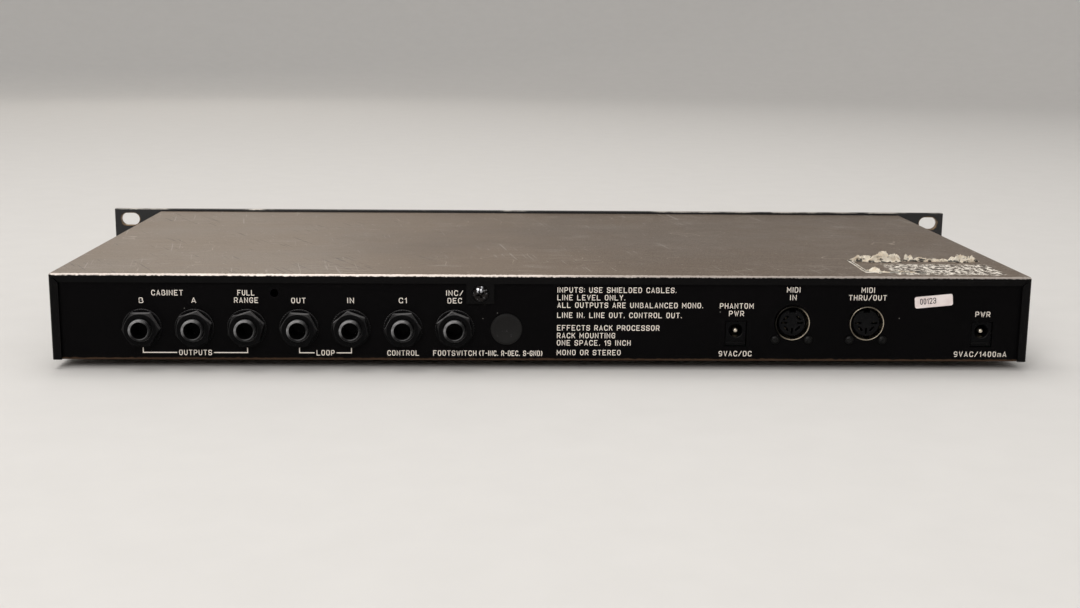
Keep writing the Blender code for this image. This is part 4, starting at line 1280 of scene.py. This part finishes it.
def lamp_finish(name, colour, strength):
    """Tinted lens of a signal lamp, glowing a little at its heart."""
    finish = Finish(name, roughness=0.25, Specular_IOR_Level=0.6, Coat_Weight=0.5)
    cloud = finish.noise(900, detail=2)
    shade = finish.mix(cloud, [c * 0.6 for c in colour], colour)
    finish.feed(finish.shader.inputs["Emission Color"], shade)
    finish.shader.inputs["Emission Strength"].default_value = strength
    finish.bump(cloud, 0.006 * MM)
    return finish.use(colour=shade)


def meter(plastic):
    """Eight lamps in one block: six green, one amber, one red."""
    low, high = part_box("level_meter")
    centre = middle("level_meter")
    lenses, windows = [], []
    pitch = (high.x - low.x) / 8
    for i in range(8):
        x = low.x + pitch * (i + 0.5)
        lens = prism(rounded(2.2 * MM, 4.6 * MM, 0.4 * MM), low.y - 0.1 * MM, low.y + 2 * MM)
        lenses.append(moved(lens, (x, 0, centre.z)))
        windows.append(rectangle(x, centre.z, (2.3 * MM, 4.7 * MM), low.y - MM, low.y + 1.5 * MM))
    block = cut(box(low, high), *windows)
    add("level_meter_block", block, plastic, replaces=["level_meter"], bevel=0.15 * MM)
    colours = {"green": (0.05, 0.5, 0.09), "amber": (0.75, 0.36, 0.03), "red": (0.6, 0.03, 0.02)}
    for name, which in (("green", lenses[:6]), ("amber", lenses[6:7]), ("red", lenses[7:])):
        finish = lamp_finish(f"lamp_{name}", colours[name], 0.25)
        add(f"level_meter_{name}", joined(*which), finish, bevel=0.12 * MM)


def display(glass, metal):
    """Tinted window in front of a module whose two rows of characters glow."""
    low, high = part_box("display_window")
    window = prism(rounded(high.x - low.x, high.z - low.z, 0.4 * MM), low.y, high.y)
    centre = middle("display_window")
    add("display_lens", moved(window, (centre.x, 0, centre.z)), glass, replaces=["display_window"])
    module_low, module_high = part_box("display_module")
    frame = cut(
        box(module_low, module_high),
        rectangle(centre.x, centre.z, (66 * MM, 15 * MM), module_low.y - MM, module_low.y + 0.8 * MM),
    )
    add("display_frame", frame, metal, replaces=["display_module"], bevel=0.3 * MM)
    glow = Finish("display_glow", roughness=0.5)
    cells = glow.noise(1500, detail=2)
    shade = glow.mix(cells, (0.15, 0.8, 0.55), (0.3, 1.0, 0.75))
    glow.feed(glow.shader.inputs["Emission Color"], shade)
    glow.shader.inputs["Emission Strength"].default_value = 1.5
    glow.use(colour=shade)
    letters = Print(low.y - 0.01 * MM, FRONT)
    row, height, weight = 3.6 * MM, 4.6 * MM, 0.38 * MM
    letters.text("STEREO DELAY", centre.x, centre.z + row, height, 54 * MM, weight)
    letters.text("MIX 50   LEVEL 72", centre.x, centre.z - row, height, 58 * MM, weight)
    add("display_letters", letters.mesh(), glow.material)


def power_switch(plastic, rocker_plastic):
    """The rocker and the frame it tilts in, with softened edges."""
    mesh = mesh_of(welded("switch_housing"))
    add("switch_frame", mesh, plastic, replaces=["switch_housing"], bevel=0.3 * MM)
    mesh = mesh_of(welded("power_rocker"))
    edge = 0.35 * MM
    add("switch_rocker", mesh, rocker_plastic, "power", replaces=["power_rocker"], bevel=edge)


# ---------------------------------------------------------------- printing


def back_lettering(ink):
    """Names of the sockets and the lines that group them, printed on the back wall."""
    sheet = Print(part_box("back_plate")[1].y, BACK)
    above = {
        "cabinet_b": (("B", 2.0, 12.3),),
        "cabinet_a": (("A", 2.1, 12.4),),
        "full_range": (("FULL", 7.4, 15.8), ("RANGE", 10.5, 12.5)),
        "loop_out": (("OUT", 6.3, 12.4),),
        "loop_in": (("IN", 2.9, 12.5),),
        "control": (("C1", 3.5, 12.6),),
        "footswitch": (("INC/", 7.4, 16.0), ("DEC", 6.3, 12.6)),
    }
    for name, lines in above.items():
        for words, width, rise in lines:
            spot = middle(f"{name}_jack")
            sheet.text(words, spot.x, spot.z + rise * MM, width=width * MM)
    jack_z = middle("control_jack").z
    base = jack_z - 11.0 * MM
    pair = (middle("cabinet_a_jack").x + middle("cabinet_b_jack").x) / 2
    sheet.text("CABINET", pair, jack_z + 15.7 * MM, width=13.7 * MM)
    sheet.text("OUTPUTS", middle("cabinet_a_jack").x, base, width=14.3 * MM)
    loop = (middle("loop_in_jack").x + middle("loop_out_jack").x) / 2
    sheet.text("LOOP", loop, base, width=7.9 * MM)
    sheet.text("CONTROL", middle("control_jack").x, base, width=14.0 * MM)
    sheet.text("FOOTSWITCH", middle("footswitch_jack").x, base, width=19.1 * MM)
    sheet.text("(T-INC, R-DEC, S-GND)", middle("hole_plug").x - 2.0 * MM, base, width=27.9 * MM)
    tick = 2.9 * MM
    for start, end, gap, centre in (
        ("cabinet_b_jack", "full_range_jack", 8.2, middle("cabinet_a_jack").x),
        ("loop_out_jack", "loop_in_jack", 5.0, loop),
    ):
        a, b = middle(start).x, middle(end).x
        sheet.line((a, base + tick), (a, base), (centre + gap * MM, base))
        sheet.line((centre - gap * MM, base), (b, base), (b, base + tick))

    for node, words in (("aux_power", ("PHANTOM", "PWR", "9VAC/DC")), ("power", ("", "PWR", "9VAC/1400mA"))):
        spot = middle(f"{node}_socket")
        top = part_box(f"{node}_socket")[1].z
        for text, width, z in (
            (words[0], 15.0, top + 7.2 * MM),
            (words[1], 6.7, top + 3.8 * MM),
            (words[2], 14.7 if node == "aux_power" else 23.8, top - 14.4 * MM),
        ):
            if text:
                sheet.text(text, spot.x, z, width=width * MM)
    for node, words in (("data_in", "IN"), ("data_out", "THRU/OUT")):
        spot = middle(f"{node}_shell")
        sheet.text("MIDI", spot.x, spot.z + 14.95 * MM, width=5.95 * MM)
        sheet.text(words, spot.x, spot.z + 11.5 * MM, width=(2.9 if words == "IN" else 16.9) * MM)
    left = middle("back_plate").x - 5.45 * MM
    ground = BEFORE[0][2]
    for words, z in (
        ("INPUTS: USE SHIELDED CABLES.", 36.0),
        ("LINE LEVEL ONLY.", 32.6),
        ("ALL OUTPUTS ARE UNBALANCED MONO.", 29.2),
        ("LINE IN, LINE OUT, CONTROL OUT.", 24.7),
        ("EFFECTS RACK PROCESSOR", 19.0),
        ("RACK MOUNTING", 15.5),
        ("ONE SPACE, 19 INCH", 12.2),
        ("MONO OR STEREO", 7.8),
    ):
        sheet.text(words, left, ground + z * MM, align="left")
    add("back_lettering", sheet.mesh(), ink)


def front_lettering(ink):
    """Names and scales of the front controls."""
    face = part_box("front_panel")[0].y
    sheet = Print(face, FRONT)
    centre = middle("front_panel").z
    label_z = centre - 14.5 * MM
    for node, words in (
        ("input_jack", "INPUT"),
        ("input_level_knob", "INPUT LEVEL"),
        ("output_level_knob", "OUTPUT LEVEL"),
        ("preset_knob", "PRESET"),
        ("level_meter", "LEVEL"),
        ("bypass_button", "BYPASS"),
        ("edit_button", "EDIT"),
        ("store_button", "STORE"),
        ("exit_button", "EXIT"),
        ("switch_housing", "POWER"),
    ):
        sheet.text(words, middle(node).x, label_z, height=2.2 * MM, weight=0.3 * MM)
    for name in ("input_level", "output_level"):
        spot = middle(f"{name}_knob")
        for i in range(11):
            angle = math.radians(-150 + 30 * i)
            way = Vector((math.sin(angle), math.cos(angle)))
            start, end = 9.0 * MM, (10.8 if i % 5 == 0 else 10.2) * MM
            spots = [Vector((spot.x, spot.z)) + way * r for r in (start, end)]
            sheet.stroke(spots, 0.3 * MM)
    add("front_lettering", sheet.mesh(), ink)


def sticker(paper, ink):
    """Small weathered paper label with a plain number, stuck at a slant beside the power socket."""
    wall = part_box("back_plate")[1].y
    spot = middle("power_socket")
    centre = Vector((spot.x + 22.4 * MM, BEFORE[0][2] + 31.6 * MM))
    turn = math.radians(-5.5)
    label = prism(rounded(17.0 * MM, 5.2 * MM, 0.9 * MM), wall + 0.02 * MM, wall + 0.14 * MM)
    label = moved(moved(label, turn=-math.degrees(turn)), (centre.x, 0, centre.y))
    add("number_sticker", label, paper, bevel=0.04 * MM)
    digits = Print(wall + 0.14 * MM, BACK)
    size = {"height": 2.7 * MM, "width": 7.2 * MM, "weight": 0.36 * MM}
    digits.text("00123", centre.x + 2.6 * MM, centre.y, tilt=-turn, **size)
    add("number_digits", digits.mesh(), ink)


# ---------------------------------------------------------------- torn label on the top


def crumple(rng, start, end, y, depth, height, seed):
    """Torn paper pushed into sharp folds, lying along X on the top of the case, with ragged ends and edges."""
    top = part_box("top_cover")[1].z
    columns, rows = max(8, int(abs(end - start) / (0.45 * MM))), 14
    bm = bmesh.new()
    grid = []
    for i in range(columns + 1):
        t = i / columns
        x = start + (end - start) * t
        swell = 0.35 + 0.65 * abs(noise.noise(Vector((x * 110, seed, 2.0)))) * 2
        swell *= min(1, 6 * t, 6 * (1 - t))
        line = []
        for k in range(rows + 1):
            v = k / rows
            shift = noise.noise(Vector((x * 260, v * 4, seed + 9)))
            slide = noise.noise(Vector((x * 420, v * 5, seed + 6)))
            ridge = 1 - min(1, 2.5 * abs(noise.noise(Vector((x * 270, v * 3.4, seed)))))
            fine = noise.noise(Vector((x * 700, v * 7, seed + 4)))
            lift = height * swell * (ridge**1.2 * math.sin(math.pi * min(1, 0.15 + v)) + 0.1 * fine)
            across = x + 0.9 * MM * shift
            along = y + depth * swell * (v - 0.5) + 0.7 * MM * slide
            line.append(bm.verts.new((across, along, top + 0.15 * MM + max(0.0, lift))))
        grid.append(line)
    for a, b in zip(grid, grid[1:]):
        for k in range(rows):
            if rng.random() > (0.3 if k in (0, rows - 1) else 0.03):
                bm.faces.new((a[k], b[k], b[k + 1], a[k + 1]))
    for face in bm.faces:
        face.normal_update()
        if face.normal.z < 0:
            face.normal_flip()
    return mesh_of(bm, recalculate=False)


def scrap(rng, outline, lift):
    """A flat torn scrap of paper on the top of the case, with a ragged edge."""
    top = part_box("top_cover")[1].z
    bm = bmesh.new()
    points = []
    for a, b in zip(outline, outline[1:] + outline[:1]):
        count = max(2, int((Vector(b) - Vector(a)).length / (0.5 * MM)))
        for i in range(count):
            p = Vector(a).lerp(Vector(b), i / count)
            points.append(p + Vector((rng.uniform(-1, 1), rng.uniform(-1, 1))) * 0.22 * MM)
    bm.faces.new([bm.verts.new((p.x, p.y, top + 0.05 * MM + rng.uniform(0, lift))) for p in points])
    bmesh.ops.triangulate(bm, faces=bm.faces)
    for face in bm.faces:
        face.normal_update()
        if face.normal.z < 0:
            face.normal_flip()
    return mesh_of(bm, recalculate=False)


def torn_label(paper, flat_paper):
    """What is left of a paper label that was peeled off the top."""
    rng = random.Random(5)
    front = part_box("front_panel")[0].y
    far, near_edge = front + 169.5 * MM, front + 204 * MM
    left = -143.4 * MM
    torn = (
        (-143.2, -169.0, 1.5, 8.0, 7.4, 1.0),
        (-152.0, -168.0, 4.0, 6.0, 9.6, 23.0),
        (-147.0, -160.0, 0.0, 6.0, 6.0, 37.0),
        (-170.5, -174.5, 0.5, 5.0, 7.5, 7.0),
        (-173.0, -193.0, 1.0, 2.2, 3.0, 51.0),
        (-174.0, -192.0, 2.0, 1.6, 2.4, 58.0),
        (-190.0, -205.5, 1.5, 7.0, 6.6, 64.0),
        (-192.0, -203.5, 3.5, 5.0, 7.4, 76.0),
        (-143.6, -151.5, 30.5, 9.0, 1.7, 83.0),
        (-150.0, -172.0, 33.6, 1.4, 1.6, 91.0),
    )
    for i, (start, end, y, depth, height, seed) in enumerate(torn):
        mesh = crumple(rng, start * MM, end * MM, far + y * MM, depth * MM, height * MM, seed)
        piece = add(f"label_fold_{i + 1}", mesh, paper, sharp=25)
        modifier = piece.modifiers.new("paper", "SOLIDIFY")
        modifier.thickness = 0.14 * MM
    outlines = (
        (0.1, ((0, -5), (-6.6, -4), (-7.1, -0.8), (0, 0))),
        (0.05, ((0, -34.5), (-0.7, -34.5), (-0.6, 0), (0, 0))),
        (0.05, ((-1.6, -34.5), (-2.0, -34.5), (-1.9, -4), (-1.5, -4))),
        (0.05, ((-6.6, -0.6), (-38.6, -0.5), (-38.6, 0), (-6.6, 0))),
    )
    scraps = []
    for lift, corners in outlines:
        outline = [(left + x * MM, near_edge + y * MM) for x, y in corners]
        scraps.append(scrap(rng, outline, lift * MM))
    piece = add("label_scraps", joined(*scraps), flat_paper, sharp=60)
    modifier = piece.modifiers.new("paper", "SOLIDIFY")
    modifier.thickness = 0.12 * MM
    modifier.offset = 1


# ---------------------------------------------------------------- whole unit

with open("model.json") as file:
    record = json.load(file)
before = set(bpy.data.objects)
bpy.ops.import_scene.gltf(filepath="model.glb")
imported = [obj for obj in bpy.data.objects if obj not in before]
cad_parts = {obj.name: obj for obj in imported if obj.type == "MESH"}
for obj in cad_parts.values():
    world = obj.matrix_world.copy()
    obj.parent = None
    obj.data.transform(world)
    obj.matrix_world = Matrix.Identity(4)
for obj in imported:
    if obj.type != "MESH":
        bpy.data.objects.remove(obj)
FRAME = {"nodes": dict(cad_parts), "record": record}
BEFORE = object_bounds()


def build():
    """Make every finish and every piece, and give the CAD nodes that stay their finishes."""
    steel = steel_painted_glints_finish()
    black_steel = metal_finish("blackened_steel", (0.02, 0.02, 0.02), (0.003, 0.003, 0.003), 0.35, 0.9)
    dull_contact = metal_finish("dull_contact_metal", (0.14, 0.12, 0.09), (0.05, 0.042, 0.03), 0.35)
    contact = metal_finish("contact_metal", (0.75, 0.7, 0.6), (0.5, 0.42, 0.3), 0.25)
    aluminium = metal_finish("turned_aluminium", (0.7, 0.7, 0.72), (0.5, 0.5, 0.52), 0.3, 0.3)
    tin = metal_finish("tinned_steel", (0.6, 0.6, 0.58), (0.4, 0.4, 0.38), 0.4, 0.4)
    black = plastic_finish("black_moulding", (0.006, 0.006, 0.0065), (0.012, 0.012, 0.013), 0.35, specular=0.3)
    # The third colour is dust and a painted highlight on the nuts' upper and +X edges.
    dark, light, dust_and_painted_light = (0.0012, 0.0012, 0.0014), (0.0026, 0.0026, 0.003), (0.26, 0.255, 0.26)
    wall_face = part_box("back_plate")[1].y
    bushing = bushing_finish(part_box("control_jack")[1].y)
    hardware = edged_plastic_finish("nut_moulding", dark, light, dust_and_painted_light, wall_face)
    # The inlets' and inserts' edges get dust and a painted highlight too.
    inlet = edged_plastic_finish("inlet_moulding", dark, light, (0.12, 0.115, 0.11), wall_face)
    insert = edged_plastic_finish("insert_moulding", light, (0.006, 0.006, 0.0065), (0.02, 0.02, 0.02), wall_face)
    key_plastic = plastic_finish("key_plastic", (0.03, 0.03, 0.033), (0.05, 0.05, 0.055), 0.5)
    plug_grey = plastic_finish("plug_grey", (0.0065, 0.0064, 0.0064), (0.0105, 0.01, 0.01), 0.62, specular=0.14)
    rocker = plastic_finish("rocker_gloss", (0.008, 0.008, 0.009), (0.014, 0.014, 0.015), 0.22)
    lens = plastic_finish("smoked_lens", (0.008, 0.012, 0.01), (0.012, 0.018, 0.014), 0.12, 300)
    back_ink = ink_finish("back_ink", (0.95, 0.88, 0.8), 0.15)
    front_ink = ink_finish("front_ink", (0.75, 0.74, 0.72), 0.1)
    dark_ink = ink_finish("sticker_ink", (0.05, 0.04, 0.045), 0.2)
    paper = paper_finish("torn_paper", (0.92, 0.86, 0.74), (0.62, 0.5, 0.36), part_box("top_cover")[1].z)
    scrap_paper = paper_finish("scrap_paper", (0.88, 0.84, 0.76), (0.6, 0.52, 0.42))
    sticker_paper = paper_finish("sticker_paper", (0.93, 0.84, 0.82), (0.78, 0.66, 0.64))
    board = board_finish()

    case_cover(cover_finish(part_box("top_cover")[1]))
    chassis(black_steel_finish(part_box("back_plate")[0]))
    panel(panel_finish(*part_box("front_panel")))
    feet(rubber_finish(), steel)
    screws(steel, black_steel)
    jacks(bushing, black, hardware, dull_contact)
    plug(plug_grey)
    power_inlets(inlet, contact, dull_contact)
    data_ports(insert, dull_contact)
    knobs(black, front_ink)
    buttons(key_plastic)
    meter(black)
    display(lens, tin)
    power_switch(black, rocker)
    back_lettering(back_ink)
    front_lettering(front_ink)
    sticker(sticker_paper, dark_ink)
    torn_label(paper, scrap_paper)
    finishes = {"main_board": (board, "circuit_board"), "control_board": (board, "circuit_board")}
    for name in KNOBS:
        finishes[f"{name}_control"] = (tin, "zinc")
        finishes[f"{name}_shaft"] = (aluminium, "aluminium")
    for node, (finish, slot) in finishes.items():
        piece = FRAME["nodes"][node]
        piece.data.materials.clear()
        piece.data.materials.append(finish)


build()
studio()
camera()
